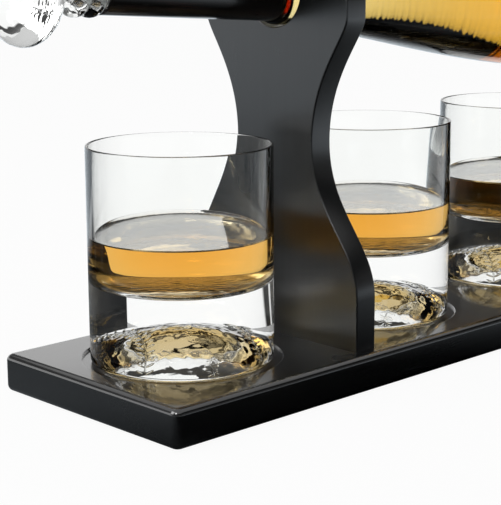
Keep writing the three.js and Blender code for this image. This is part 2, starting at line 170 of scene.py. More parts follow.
class Maths(Enum):
    """Kinds of maths node."""

    NUMBER = "ShaderNodeMath"
    VECTOR = "ShaderNodeVectorMath"
    WHOLE = "FunctionNodeIntegerMath"


def calc(
    tree: NodeTree, operation: str, *values: Any, kind: Maths = Maths.NUMBER, **settings: Any
) -> Socket:
    """What a new maths node makes of some values or sockets."""
    return add(tree, kind.value, dict(enumerate(values)), operation=operation, **settings).outputs[0]


def ramp(
    tree: NodeTree, value: Socket, start: Pair, end: Pair, interpolation: str = "SMOOTHSTEP"
) -> Socket:
    """Adds a level that goes from one to another.

    Args:
        tree: The tree.
        value: What the level follows.
        start: The value and the level where the change starts.
        end: The value and the level where it ends.
        interpolation: How it changes, which is softly unless said.

    Returns:
        The level.
    """
    inputs = {"Value": value, "From Min": start[0], "From Max": end[0]}
    inputs |= {"To Min": start[1], "To Max": end[1]}
    made = add(tree, "ShaderNodeMapRange", inputs, interpolation_type=interpolation)
    return made.outputs["Result"]


def new_material(name: str) -> tuple[Material, NodeTree, Node]:
    """Starts a material.

    Args:
        name: Its name.

    Returns:
        The material, its tree and its Principled shader.
    """
    made = bpy.data.materials.new(name)
    made.use_nodes = True
    return made, made.node_tree, made.node_tree.nodes["Principled BSDF"]


def put(name: str, data: Any) -> bpy.types.Object:
    """Puts a new object in the scene.

    Args:
        name: Its name.
        data: Its mesh, camera or light.

    Returns:
        The object.
    """
    made = bpy.data.objects.new(name, data)
    bpy.context.scene.collection.objects.link(made)
    return made


class Input(Enum):
    """Kinds of named input on a Geometry Nodes tree."""

    WHOLE = "NodeSocketInt"
    LENGTH = "NodeSocketFloat"
    PLACE = "NodeSocketVector"
    FINISH = "NodeSocketMaterial"


class Tree:
    """A Geometry Nodes tree with named inputs, which makes plain meshes."""

    def __init__(self, name: str, inputs: dict[str, Input], body: Callable) -> None:
        """Makes the tree.

        Args:
            name: The tree's name.
            inputs: Each named input and its kind.
            body: Fills the tree, given the tree and its input node, and returns the geometry's and
                the material's socket.
        """
        self.tree = bpy.data.node_groups.new(name, "GeometryNodeTree")
        face = self.tree.interface
        face.new_socket(name="Geometry", in_out="INPUT", socket_type="NodeSocketGeometry")
        face.new_socket(name="Geometry", in_out="OUTPUT", socket_type="NodeSocketGeometry")
        self.sockets = {
            label: face.new_socket(name=label, in_out="INPUT", socket_type=kind.value).identifier
            for label, kind in inputs.items()
        }
        given = add(self.tree, "NodeGroupInput")
        shape, finish = body(self.tree, given)
        solid = add(self.tree, "GeometryNodeRealizeInstances", {"Geometry": shape}).outputs[0]
        dressed = add(self.tree, "GeometryNodeSetMaterial", {"Geometry": solid, "Material": finish})
        add(self.tree, "NodeGroupOutput", {"Geometry": dressed.outputs[0]})

    def run(self, points: Sequence[Vector], **values: Any) -> Mesh:
        """Runs the tree on a line of points and keeps its result as a plain mesh.

        Args:
            points: The line's points in metres.
            **values: Each named input, with "_" for a space.

        Returns:
            The mesh, which no modifier is left on.
        """
        line = bpy.data.meshes.new("line")
        line.from_pydata(points, [(i, i + 1) for i in range(len(points) - 1)], [])
        carrier = put("line", line)
        modifier = carrier.modifiers.new("shape", "NODES")
        modifier.node_group = self.tree
        for label, value in values.items():
            modifier[self.sockets[label.replace("_", " ")]] = value
        graph = bpy.context.evaluated_depsgraph_get()
        made = bpy.data.meshes.new_from_object(carrier.evaluated_get(graph))
        carrier.modifiers.remove(modifier)
        bpy.data.objects.remove(carrier)
        return made


def turning(tree: NodeTree, given: Node) -> tuple[Socket, Socket]:
    """Turns a profile line in the XZ plane round +Z: a grid of profile points by places round it.

    Args:
        tree: The tree to fill.
        given: Its input node.

    Returns:
        The geometry and the material.
    """
    line, segments = given.outputs["Geometry"], given.outputs["Segments"]
    count = add(tree, "GeometryNodeAttributeDomainSize", {"Geometry": line}).outputs["Point Count"]
    across = calc(tree, "ADD", segments, 1, kind=Maths.WHOLE)
    grid = add(tree, "GeometryNodeMeshGrid", {"Vertices X": count, "Vertices Y": across}).outputs["Mesh"]
    index = add(tree, "GeometryNodeInputIndex").outputs[0]
    row, place = (calc(tree, way, index, across, kind=Maths.WHOLE) for way in ("DIVIDE", "MODULO"))
    here = add(tree, "GeometryNodeInputPosition").outputs[0]
    profile = add(
        tree,
        "GeometryNodeSampleIndex",
        {"Geometry": line, "Value": here, "Index": row},
        data_type="FLOAT_VECTOR",
        domain="POINT",
    )
    angle = calc(tree, "MULTIPLY", calc(tree, "DIVIDE", place, segments), FULL_TURN)
    turned = add(
        tree,
        "ShaderNodeVectorRotate",
        {"Vector": profile.outputs[0], "Angle": angle},
        rotation_type="Z_AXIS",
    )
    placed = add(tree, "GeometryNodeSetPosition", {"Geometry": grid, "Position": turned.outputs[0]})
    weld = {"Geometry": placed.outputs[0], "Distance": given.outputs["Weld"]}
    return add(tree, "GeometryNodeMergeByDistance", weld).outputs[0], given.outputs["Finish"]


def stitching(tree: NodeTree, given: Node) -> tuple[Socket, Socket]:
    """Lays pairs of leaning stitches and a raised seam line along a curve on a dome.

    Args:
        tree: The tree to fill.
        given: Its input node.

    Returns:
        The geometry and the material.
    """
    length, width = given.outputs["Length"], given.outputs["Width"]
    curve = add(tree, "GeometryNodeMeshToCurve", {"Mesh": given.outputs["Geometry"]}).outputs[0]
    spacing = {"Curve": curve, "Length": given.outputs["Spacing"]}
    spaced = add(tree, "GeometryNodeCurveToPoints", spacing, mode="LENGTH")
    here = add(tree, "GeometryNodeInputPosition").outputs[0]
    outward = calc(tree, "SUBTRACT", here, given.outputs["Dome Centre"], kind=Maths.VECTOR)
    facing = add(
        tree,
        "FunctionNodeAxesToRotation",
        {"Primary Axis": outward, "Secondary Axis": spaced.outputs["Tangent"]},
        primary_axis="Z",
        secondary_axis="X",
    )
    capsule = add(tree, "GeometryNodeMeshUVSphere", {"Segments": 8, "Rings": 6, "Radius": 0.5})
    size = add(tree, "ShaderNodeCombineXYZ", {0: length, 1: width, 2: width}).outputs[0]
    stretch = {"Geometry": capsule.outputs["Mesh"], "Scale": size}
    stitch = add(tree, "GeometryNodeTransform", stretch).outputs[0]
    parts = []
    for side in (-1, 1):
        turn = add(tree, "ShaderNodeCombineXYZ", {2: calc(tree, "MULTIPLY", given.outputs["Lean"], side)})
        shift = add(tree, "ShaderNodeCombineXYZ", {1: calc(tree, "MULTIPLY", length, PAIR_SHARE * side)})
        leaning = add(
            tree,
            "GeometryNodeTransform",
            {"Geometry": stitch, "Rotation": turn.outputs[0], "Translation": shift.outputs[0]},
        )
        laid = add(
            tree,
            "GeometryNodeInstanceOnPoints",
            {
                "Points": spaced.outputs["Points"],
                "Instance": leaning.outputs[0],
                "Rotation": facing.outputs[0],
            },
        )
        parts.append(laid.outputs[0])
    thread = {"Resolution": 8, "Radius": calc(tree, "MULTIPLY", width, SEAM_SHARE)}
    ring = add(tree, "GeometryNodeCurvePrimitiveCircle", thread).outputs[0]
    seam = {"Curve": curve, "Profile Curve": ring, "Fill Caps": True}
    parts.append(add(tree, "GeometryNodeCurveToMesh", seam).outputs[0])
    whole = add(tree, "GeometryNodeJoinGeometry")
    for part in parts:
        tree.links.new(part, whole.inputs[0])
    return whole.outputs[0], given.outputs["Finish"]


TURNING = Tree(
    "Turned round an axis",
    {"Segments": Input.WHOLE, "Weld": Input.LENGTH, "Finish": Input.FINISH},
    turning,
)
STITCHING = Tree(
    "Stitches along a seam",
    {
        "Spacing": Input.LENGTH,
        "Length": Input.LENGTH,
        "Width": Input.LENGTH,
        "Lean": Input.LENGTH,
        "Dome Centre": Input.PLACE,
        "Finish": Input.FINISH,
    },
    stitching,
)


# Meshes


@contextmanager
def edited(mesh: Mesh) -> Iterator[bmesh.types.BMesh]:
    """Opens a mesh for editing in a with statement, and at its end gives it what was made of it.

    Args:
        mesh: The mesh.

    Returns:
        The mesh as it is edited.
    """
    work = bmesh.new()
    work.from_mesh(mesh)
    yield work
    work.to_mesh(mesh)
    work.free()


def crisp(mesh: Mesh, angle_degrees: float = SHARP_DEGREES) -> None:
    """Smooths a mesh, but keeps its flat faces flat and its real corners sharp.

    Args:
        mesh: The mesh.
        angle_degrees: The angle over which an edge stays sharp.
    """
    mesh.shade_smooth()
    mesh.set_sharp_from_angle(angle=math.radians(angle_degrees))
    sharp = set()
    for polygon in mesh.polygons:
        if len(polygon.vertices) > QUAD_CORNERS:
            sharp.update(polygon.edge_keys)
    for edge in mesh.edges:
        if edge.key in sharp:
            edge.use_edge_sharp = True


def tidied(mesh: Mesh, angle_degrees: float = SHARP_DEGREES) -> Mesh:
    """Makes a closed mesh's faces point outwards and its shading crisp.

    Args:
        mesh: The mesh.
        angle_degrees: The angle over which an edge stays sharp.

    Returns:
        The same mesh.
    """
    with edited(mesh) as work:
        bmesh.ops.recalc_face_normals(work, faces=work.faces)
    crisp(mesh, angle_degrees)
    return mesh


def joined(meshes: Sequence[Mesh]) -> Mesh:
    """Puts several meshes together in the first one.

    Args:
        meshes: The meshes, in place.

    Returns:
        The first one, which now holds them all.
    """
    with edited(meshes[0]) as work:
        for mesh in meshes[1:]:
            work.from_mesh(mesh)
    return meshes[0]


def cut_level(mesh: Mesh, height: float, way: int) -> None:
    """Cuts a closed mesh off level and closes the cut.

    Args:
        mesh: The mesh, in place.
        height: The cut's height.
        way: 1 takes away what lies above the cut, and -1 what lies below it.
    """
    level, up = Vector((0, 0, height * MM)), (0, 0, way)
    with edited(mesh) as work:
        whole = work.verts[:] + work.edges[:] + work.faces[:]
        made = bmesh.ops.bisect_plane(work, geom=whole, plane_co=level, plane_no=up, clear_outer=True)
        rim = [e for e in made["geom_cut"] if isinstance(e, bmesh.types.BMEdge)]
        bmesh.ops.contextual_create(work, geom=rim)


def strips(rings: int, count: int) -> list[tuple[int, ...]]:
    """The quads between closed rings of vertices that are numbered one ring after another.

    Args:
        rings: How many rings there are.
        count: How many vertices each has.

    Returns:
        The faces.
    """
    faces = []
    for k in range(rings - 1):
        for i in range(count):
            j = (i + 1) % count
            faces.append((k * count + i, k * count + j, (k + 1) * count + j, (k + 1) * count + i))
    return faces


def rounded_plate(outline: Sequence[Pair], thickness: float, edge_radius: float, steps: int = 8) -> Mesh:
    """A plate with rounded edges, lying between z = 0 and its thickness.

    Args:
        outline: The plate's full outline, anticlockwise.
        thickness: Its thickness.
        edge_radius: The radius of its edges.
        steps: How many chords each rounded edge has.

    Returns:
        The closed mesh.
    """
    outline = without_repeats(outline)
    count = len(outline)
    normals = []
    for i, here in enumerate(outline):
        before, after = outline[i - 1], outline[(i + 1) % count]
        ways = [Vector(here) - Vector(before), Vector(after) - Vector(here)]
        sides = [Vector((w.y, -w.x)).normalized() for w in ways]
        middle = (sides[0] + sides[1]).normalized()
        normals.append(middle / max(MITRE_LIMIT, middle.dot(sides[0])))
    turns = [QUARTER_TURN * k / steps for k in range(steps + 1)]
    rings = [(edge_radius * (1 - math.sin(a)), edge_radius * (1 - math.cos(a))) for a in turns]
    rings += [(inset, thickness - height) for inset, height in reversed(rings)]
    vertices = []
    for inset, height in rings:
        for point, normal in zip(outline, normals):
            vertices.append(Vector((point[0] - normal.x * inset, point[1] - normal.y * inset, height)) * MM)
    last = (len(rings) - 1) * count
    faces = [tuple(reversed(range(count))), *strips(len(rings), count), tuple(range(last, last + count))]
    mesh = bpy.data.meshes.new("plate")
    mesh.from_pydata(vertices, [], faces)
    return mesh


def cut(mesh: Mesh, cutters: Sequence[Mesh]) -> Mesh:
    """Takes each cutter out of a mesh.

    Args:
        mesh: A closed mesh.
        cutters: The closed meshes to take out of it.

    Returns:
        What is left, as a plain mesh.
    """
    piece = put("cut", mesh)
    helpers = [put("cutter", shape) for shape in cutters]
    for helper in helpers:
        modifier = piece.modifiers.new("cut", "BOOLEAN")
        modifier.operation, modifier.solver, modifier.object = "DIFFERENCE", "EXACT", helper
    graph = bpy.context.evaluated_depsgraph_get()
    made = bpy.data.meshes.new_from_object(piece.evaluated_get(graph))
    for unused in (piece, *helpers):
        bpy.data.objects.remove(unused)
    return made


def shown(
    name: str, mesh: Mesh, finish: Material, body: str, stands_for: Sequence[str] = ()
) -> None:
    """Puts a finished mesh in the scene as one piece.

    Args:
        name: The piece's name.
        mesh: Its mesh, already in place.
        finish: Its material.
        body: The CAD body that it rides on.
        stands_for: The CAD nodes that it replaces.
    """
    mesh.materials.clear()
    mesh.materials.append(finish)
    piece = put(name, mesh)
    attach(piece, body)
    if stands_for:
        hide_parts(*stands_for)
    log.info("%s: %d faces, on %s", name, len(mesh.polygons), body)


@dataclass(frozen=True)
class Axis:
    """Where a turned piece stands: its zero and its lean from +Z toward +X."""

    x: float
    y: float
    z: float
    lean: float = 0.0

    def matrix(self) -> Matrix:
        """The axis as a matrix in metres."""
        place = Matrix.Translation(Vector((self.x, self.y, self.z)) * MM)
        return place @ Matrix.Rotation(self.lean, 4, "Y")

    def turned(
        self, profile: Iterable[Pair], segments: int, sharp_degrees: float = SHARP_DEGREES
    ) -> Mesh:
        """Turns a profile of radius and height round the axis.

        Args:
            profile: The profile, which starts and ends on the axis or joins its own start.
            segments: How many places it has round the axis.
            sharp_degrees: The angle over which an edge stays sharp.

        Returns:
            The closed mesh, in place.
        """
        points = [Vector((r, 0, z)) * MM for r, z in without_repeats(profile)]
        mesh = TURNING.run(points, Segments=segments, Weld=SAME_POINT * MM / 2)
        mesh.transform(self.matrix())
        return tidied(mesh, sharp_degrees)


# Finishes


class Finish:
    """What the finishes share: noise, relief, and colours and values that follow a noise."""

    def noise(
        self,
        tree: NodeTree,
        size_mm: float,
        detail: float,
        scale: Sequence[float] = (1, 1, 1),
        lean: float = 0.0,
    ) -> Socket:
        """Adds noise.

        Args:
            tree: The material's tree.
            size_mm: About how wide its lumps are.
            detail: How much finer noise lies over it.
            scale: The stretch along each axis: under 1 draws the lumps out.
            lean: How far the stretched axes lean from +Z toward +X.

        Returns:
            The noise.
        """
        where = add(tree, "ShaderNodeTexCoord").outputs["Object"]
        if lean:
            turn = {"Vector": where, "Angle": -lean}
            where = add(tree, "ShaderNodeVectorRotate", turn, rotation_type="Y_AXIS").outputs[0]
        stretched = add(tree, "ShaderNodeMapping", {"Vector": where, "Scale": scale}).outputs[0]
        inputs = {"Vector": stretched, "Scale": 1 / (size_mm * MM), "Detail": detail}
        return add(tree, "ShaderNodeTexNoise", inputs).outputs["Fac"]

    def bump(self, tree: NodeTree, shader: Node, height: Socket, depth_mm: float) -> None:
        """Feeds the shader's normal from a height, whose 1 stands for the depth."""
        raised = {"Height": height, "Strength": 1.0, "Distance": depth_mm * MM}
        fill(tree, shader, {"Normal": add(tree, "ShaderNodeBump", raised).outputs[0]})

    def between(
        self, tree: NodeTree, factor: Socket, low: str, high: str, span: Pair = USUAL_NOISE
    ) -> Socket:
        """Adds a colour that follows a factor.

        Args:
            tree: The material's tree.
            factor: The factor.
            low: The colour at the span's start.
            high: The colour at its end.
            span: Where in the factor the colour changes.

        Returns:
            The colour.
        """
        blend = add(tree, "ShaderNodeValToRGB", {"Fac": factor})
        first, last = blend.color_ramp.elements
        first.position, last.position = span
        first.color, last.color = linear(low), linear(high)
        return blend.outputs["Color"]

    def spread(self, tree: NodeTree, factor: Socket, low: float, high: float) -> Socket:
        """A value that runs from low to high over a noise's usual range."""
        return ramp(tree, factor, (USUAL_NOISE[0], low), (USUAL_NOISE[1], high), "LINEAR")


@dataclass(frozen=True)
class MouldedGlass(Finish):
    """Soda-lime glass, pressed or blown in a mould: clear and glossy, with slow faint waves."""

    name: str = "moulded soda-lime glass"
    wave_mm: float = 14.0  # spacing of the waves that a mould leaves
    wave_depth_mm: float = 0.012
    wave_stretch: Triple = (1.0, 1.0, 1.0)
    glint: str = "#B4B4B4"  # under soft light clear glass mirrors little
    ground_below: float = -1.0  # height under which the foot is ground matt
    ground_roughness: float = 0.4

    def make(self) -> Material:
        """Builds the material.

        Returns:
            The material.
        """
        made, tree, shader = new_material(self.name)
        fill(tree, shader, {
            "Base Color": linear("#FEFFFE"),
            "Transmission Weight": 1.0,
            "Roughness": 0.0,
            "IOR": 1.5,
            "Specular Tint": linear(self.glint),
        })
        if self.ground_below > 0:
            where = add(tree, "ShaderNodeTexCoord").outputs["Object"]
            height = add(tree, "ShaderNodeSeparateXYZ", {0: where}).outputs["Z"]
            ground = calc(tree, "LESS_THAN", height, self.ground_below * MM)
            fill(tree, shader, {"Roughness": calc(tree, "MULTIPLY", ground, self.ground_roughness)})
        waves = self.noise(tree, self.wave_mm, detail=1.0, scale=self.wave_stretch)
        self.bump(tree, shader, waves, self.wave_depth_mm)
        return made


@dataclass(frozen=True)
class Spirit(Finish):
    """Whisky: amber that deepens with the way light takes through it, under a rippled surface."""

    name: str = "whisky"
    tint: str = "#FDECB7"  # what a unit of depth leaves
    density: float = 72.0
    wall_glint: str = "#606060"  # a spirit that wets glass hardly glints against it
    level_slope: Pair = (0.75, 0.9)  # an upward normal over this is the open surface
    surface_gloss: float = 2.0  # its open surface mirrors the pale room
    ripple_mm: float = 5.0
    ripple_depth_mm: float = 0.25

    def make(self) -> Material:
        """Builds the material.

        Returns:
            The material.
        """
        made, tree, shader = new_material(self.name)
        face = add(tree, "ShaderNodeNewGeometry")
        upward = add(tree, "ShaderNodeSeparateXYZ", {0: face.outputs["Normal"]}).outputs["Z"]
        start, end = self.level_slope
        level = ramp(tree, upward, (start, 0.0), (end, 1.0), "LINEAR")
        surface = calc(tree, "MULTIPLY", level, calc(tree, "SUBTRACT", 1.0, face.outputs["Backfacing"]))
        fill(tree, shader, {
            "Base Color": linear("#FFFFFF"),
            "Transmission Weight": 1.0,
            "Roughness": 0.0,
            "IOR": 1.36,
            "Specular Tint": linear(self.wall_glint),
            "Coat Weight": surface,
            "Coat IOR": self.surface_gloss,
            "Coat Roughness": 0.0,
        })
        ripple = self.noise(tree, self.ripple_mm, detail=2.0)
        self.bump(tree, shader, calc(tree, "MULTIPLY", ripple, surface), self.ripple_depth_mm)
        depth = {"Color": linear(self.tint), "Density": self.density}
        volume = add(tree, "ShaderNodeVolumeAbsorption", depth).outputs[0]
        fill(tree, tree.nodes["Material Output"], {"Volume": volume})
        return made


@dataclass(frozen=True)
class BlackLacquer(Finish):
    """Sprayed black lacquer on wood: deep black under a clear gloss coat with a fine orange peel."""

    name: str = "sprayed black lacquer on wood"
    colour: str = "#070809"
    thin: str = "#0E1011"  # where the coat is thinner over the grain
    thin_span: Pair = (0.35, 0.75)
    roughness: Pair = (0.26, 0.34)
    coat: float = 1.0
    coat_roughness: float = 0.07
    coat_ior: float = 2.1
    peel_mm: float = 1.8
    cloud_mm: float = 45.0  # how far apart the sheen changes
    relief_mm: float = 0.003
    grain_share: float = 0.2  # of the grain in the relief
    grain_mm: Pair = (70.0, 2.4)  # along and across the grain
    grain_axis: int = 0

    def make(self) -> Material:
        """Builds the material.

        Returns:
            The material.
        """
        made, tree, shader = new_material(self.name)
        stretch = [1.0, 1.0, 1.0]
        stretch[self.grain_axis] = self.grain_mm[1] / self.grain_mm[0]
        grain = self.noise(tree, self.grain_mm[1], detail=4.0, scale=stretch)
        cloud = self.noise(tree, self.cloud_mm, detail=2.0)
        peel = self.noise(tree, self.peel_mm, detail=1.0)
        fill(tree, shader, {
            "Base Color": self.between(tree, grain, self.colour, self.thin, self.thin_span),
            "Roughness": self.spread(tree, cloud, *self.roughness),
            "IOR": 1.45,
            "Coat Weight": self.coat,
            "Coat Roughness": self.coat_roughness,
            "Coat IOR": self.coat_ior,
        })
        self.bump(tree, shader, calc(tree, "MULTIPLY_ADD", grain, self.grain_share, peel), self.relief_mm)
        return made


@dataclass(frozen=True)
class GripLacquer(Finish):
    """Turned hardwood stained near black and polished: red-brown streaks under a clear gloss."""

    name: str = "stained turned hardwood under gloss lacquer"
    ground: str = "#080706"
    streak: str = "#24110E"
    streak_span: Pair = (0.5, 0.8)
    lean: float = 0.0  # of the grip's axis from +Z toward +X
    streak_mm: Pair = (26.0, 0.9)  # along and across the streaks
    relief_mm: float = 0.01

    def make(self) -> Material:
        """Builds the material.

        Returns:
            The material.
        """
        made, tree, shader = new_material(self.name)
        length, width = self.streak_mm
        stretch = (1, 1, width / length)
        streaks = self.noise(tree, width, detail=5.0, scale=stretch, lean=self.lean)
        fill(tree, shader, {
            "Base Color": self.between(tree, streaks, self.ground, self.streak, self.streak_span),
            "Roughness": 0.22,
            "IOR": 1.45,
            "Coat Weight": 0.6,
            "Coat Roughness": 0.1,
        })
        self.bump(tree, shader, streaks, self.relief_mm)
        return made


@dataclass(frozen=True)
class ZincSteel(Finish):
    """Zinc-plated steel of a wood screw: bright grey with fine turning marks."""

    name: str = "zinc-plated steel"
    low: str = "#A9ADB1"
    high: str = "#CDD0D2"
    roughness: Pair = (0.25, 0.42)
    mark_mm: float = 0.5
    mark_stretch: Triple = (1, 1, 6)
    relief_mm: float = 0.01

    def make(self) -> Material:
        """Builds the material.

        Returns:
            The material.
        """
        made, tree, shader = new_material(self.name)
        marks = self.noise(tree, self.mark_mm, detail=2.0, scale=self.mark_stretch)
        fill(tree, shader, {
            "Base Color": self.between(tree, marks, self.low, self.high),
            "Roughness": self.spread(tree, marks, *self.roughness),
            "Metallic": 1.0,
        })
        self.bump(tree, shader, marks, self.relief_mm)
        return made


@dataclass(frozen=True)
class Elastomer(Finish):
    """Soft moulded rubber or silicone: matt, with a fine pebble and a little dust."""

    name: str = "die-cut rubber"
    low: str = "#202020"
    high: str = "#333333"
    roughness: float = 0.8
    translucent: float = 0.0
    pebble_mm: float = 0.4
    relief_mm: float = 0.02

    def make(self) -> Material:
        """Builds the material.

        Returns:
            The material.
        """
        made, tree, shader = new_material(self.name)
        pebble = self.noise(tree, self.pebble_mm, detail=2.0)
        fill(tree, shader, {
            "Base Color": self.between(tree, pebble, self.low, self.high),
            "Roughness": self.roughness,
            "Transmission Weight": self.translucent,
        })
        self.bump(tree, shader, pebble, self.relief_mm)
        return made


# Stand


@dataclass(frozen=True)
class Upright:
    """One upright's own sizes. Heights are above the board's top."""

    name: str
    side: int  # -1 under the neck, 1 under the barrel
    waist: float
    ear: Pair  # half width, and the height where its side turns upright
    notch: Pair  # radius, and height of its lowest line


@dataclass
class Stand:
    """The board on its pads, the two uprights and the screws that hold them."""

    board: Triple = (464.0, 115.6, 16.8)
    board_corner: float = 4.0
    board_edge: float = 3.0
    pad: Pair = (6.5, 1.2)  # radius and height
    pad_edge: float = 0.3
    pad_inset: float = 22.0
    pad_segments: int = 64
    seat_radius: float = 43.8
    seat_depth: float = 1.2
    seat_edge: float = 0.25
    seat_segments: int = 128
    tumbler_x: tuple[float, ...] = (-178.0, -178.0 + 356 / 3, 178.0 - 356 / 3, 178.0)
    upright_x: float = 116.0
    upright_thickness: float = 12.0
    upright_edge: float = 0.8
    foot: Pair = (51.5, 23.0)  # half width, and height of its straight side
    foot_spare: float = 8.0  # what is cut off level under the foot
    waist_half_width: float = 23.7
    ear_corner: float = 4.0
    handles: tuple[float, float, float, float] = (0.36, 0.48, 0.54, 0.16)
    uprights: tuple[Upright, ...] = (
        Upright("neck", -1, 90.0, (44.3, 145.0), (16.4, 139.35)),
        Upright("barrel", 1, 75.628, (49.7, 130.628), (36.2, 106.628)),
    )
    screw: Triple = (2.0, 4.0, 32.0)  # radius, head radius, length
    overrun: Pair = (5.0, 4.0)  # of the seats' cutters above the board, of the holes' below it
    screw_spacing: float = 56.0
    screw_sink: float = 0.8
    screw_head: Pair = (0.4, 2.4)  # where its cone starts and ends
    screw_point: float = 3.0
    screw_tip: tuple[Pair, ...] = ((0.66, 2.0), (0.33, 1.0), (0.0, 0.0))  # radius share, from the end
    screw_rise: float = 0.3  # between its rings
    screw_segments: int = 20
    hole_segments: int = 40
    thread: Triple = (1.8, 0.35, 9.0)  # pitch, depth, and where it starts
    thread_ease: Pair = (2.0, 4.0)  # way over which it grows, and its crest's sharpness
    thread_core: float = 0.3  # nearer to the axis nothing is cut
    recess: Triple = (2.2, 0.45, 2.4)  # half length, half width and height of its cutter
    recess_edge: float = 0.05
    recess_start: float = -1.0
    top: float = field(init=False)

    def __post_init__(self) -> None:
        """Works out the height of the board's top."""
        self.top = self.pad[1] + self.board[2]

    def screw_places(self, upright: Upright) -> dict[str, Axis]:
        """Places one upright's screws.

        Args:
            upright: The upright.

        Returns:
            Each screw's axis by its row.
        """
        x, height = upright.side * self.upright_x, self.pad[1] + self.screw_sink
        half = self.screw_spacing / 2
        return {"front": Axis(x, -half, height), "back": Axis(x, half, height)}

    def screw_hole(self, axis: Axis) -> Mesh:
        """Makes the countersunk hole for one screw.

        Args:
            axis: The screw's axis.

        Returns:
            The hole's closed mesh.
        """
        shank, head, length = self.screw
        shank, head, below = shank + FIT_GAP, head + FIT_GAP, -self.overrun[1]
        start, end = self.screw_head[0] + FIT_GAP, self.screw_head[1] + FIT_GAP
        profile = [(0, below), (head, below), (head, start), (shank, end)]
        profile += [(shank, length - end), (0, length + FIT_GAP)]
        return axis.turned(profile, self.hole_segments)

    def make_board(self, finish: Material) -> None:
        """Makes the board, with its seats and screw holes.

        Args:
            finish: Its material.
        """
        length, width, thickness = self.board
        x, y, r = length / 2 - self.board_corner, width / 2 - self.board_corner, self.board_corner
        outline = []
        for turn, corner in enumerate(((x, y), (-x, y), (-x, -y), (x, -y))):
            outline += arc(corner, (r, r), turn * QUARTER_TURN, (turn + 1) * QUARTER_TURN, 8)
        plate = rounded_plate(outline, thickness, self.board_edge)
        plate.transform(Matrix.Translation((0, 0, self.pad[1] * MM)))
        floor, edge, radius = self.top - self.seat_depth, self.seat_edge, self.seat_radius
        lip = arc((radius + edge, self.top - edge), (edge, edge), HALF_TURN, QUARTER_TURN, 4)
        above = self.top + self.overrun[0]
        seat = [(0, floor), (radius, floor), *lip, (radius + edge, above), (0, above)]
        cutters = [Axis(x, 0, 0).turned(seat, self.seat_segments) for x in self.tumbler_x]
        for upright in self.uprights:
            cutters += [self.screw_hole(axis) for axis in self.screw_places(upright).values()]
        shown("lacquered_board", tidied(cut(plate, cutters)), finish, "stand", ["base_board"])

    def make_pads(self, finish: Material) -> None:
        """Makes the four thin pads under the board.

        Args:
            finish: Their material.
        """
        (radius, height), edge = self.pad, self.pad_edge
        x, y = self.board[0] / 2 - self.pad_inset, self.board[1] / 2 - self.pad_inset
        rim = arc((radius - edge, edge), (edge, edge), -QUARTER_TURN, 0, 4)
        profile = [(0, 0), *rim, (radius, height), (0, height)]
        for i, (sx, sy) in enumerate(((-1, -1), (1, -1), (1, 1), (-1, 1)), 1):
            pad = Axis(sx * x, sy * y, 0).turned(profile, self.pad_segments)
            shown(f"rubber_pad_{i}", pad, finish, "stand", [f"foot_pad_{i}"])

    def upright_side(self, upright: Upright, top: float) -> list[Pair]:
        """Draws one waisted side, from below its foot to the top of its ear.

        Args:
            upright: The upright.
            top: The ear's top.

        Returns:
            The side's points.
        """
        (foot_x, foot_z), corner, h = self.foot, self.ear_corner, self.handles
        (ear_x, ear_z), x, z = upright.ear, self.waist_half_width, upright.waist
        low, high = z - foot_z, ear_z - z
        lower = [(foot_x, foot_z), (foot_x, foot_z + h[0] * low), (x, z - h[1] * low), (x, z)]
        upper = [(x, z), (x, z + h[2] * high), (ear_x, ear_z - h[3] * high), (ear_x, ear_z)]
        round_top = arc((ear_x - corner, top - corner), (corner, corner), 0, QUARTER_TURN, 8)
        return [(foot_x, -self.foot_spare), *bezier(lower, 32), *bezier(upper, 32), *round_top]

    def make_upright(self, upright: Upright, finish: Material) -> None:
        """Makes one upright with its notch.

        Args:
            upright: The upright.
            finish: Its material.
        """
        radius, lowest = upright.notch
        top = lowest + radius
        right = self.upright_side(upright, top)
        left = [(-x, z) for x, z in reversed(right)]
        hollow = arc((0, top), (radius, radius), 0, -HALF_TURN, 64)
        plate = rounded_plate([*right, *hollow, *left], self.upright_thickness, self.upright_edge)
        x = upright.side * self.upright_x - self.upright_thickness / 2
        stood_up = ((0, 0, 1, x * MM), (1, 0, 0, 0), (0, 1, 0, self.top * MM), (0, 0, 0, 1))
        plate.transform(Matrix(stood_up))
        cut_level(plate, self.top, -1)
        holes = [self.screw_hole(axis) for axis in self.screw_places(upright).values()]
        name = f"{upright.name}_lacquered_upright"
        whole = tidied(cut(plate, holes))
        shown(name, whole, finish, "stand", [f"{upright.name}_upright"])

    def screw_blank(self) -> Mesh:
        """Makes a screw with its rolled thread, its head at the origin and its point up.

        Returns:
            The closed mesh, which lacks the recess.
        """
        (shank, head, length), (start, z) = self.screw, self.screw_head
        (pitch, crest, first), (grow, sharp) = self.thread, self.thread_ease
        profile = [(0, 0), (head, 0), (head, start), (shank, z)]
        straight = length - self.screw_point
        while z < straight:
            z += self.screw_rise
            profile.append((shank, min(z, straight)))
        profile += [(shank * share, length - before) for share, before in self.screw_tip]
        mesh = Axis(0, 0, 0).turned(profile, self.screw_segments)
        for vertex in mesh.vertices:
            p = vertex.co / MM
            if p.z > first and p.xy.length > self.thread_core:
                turn = (math.atan2(p.y, p.x) / FULL_TURN - p.z / pitch) % 1
                depth = crest * min(1, (p.z - first) / grow) * min(1, abs(turn - 0.5) * sharp)
                vertex.co.xy = (p.xy * (1 - depth / shank)) * MM
        return mesh

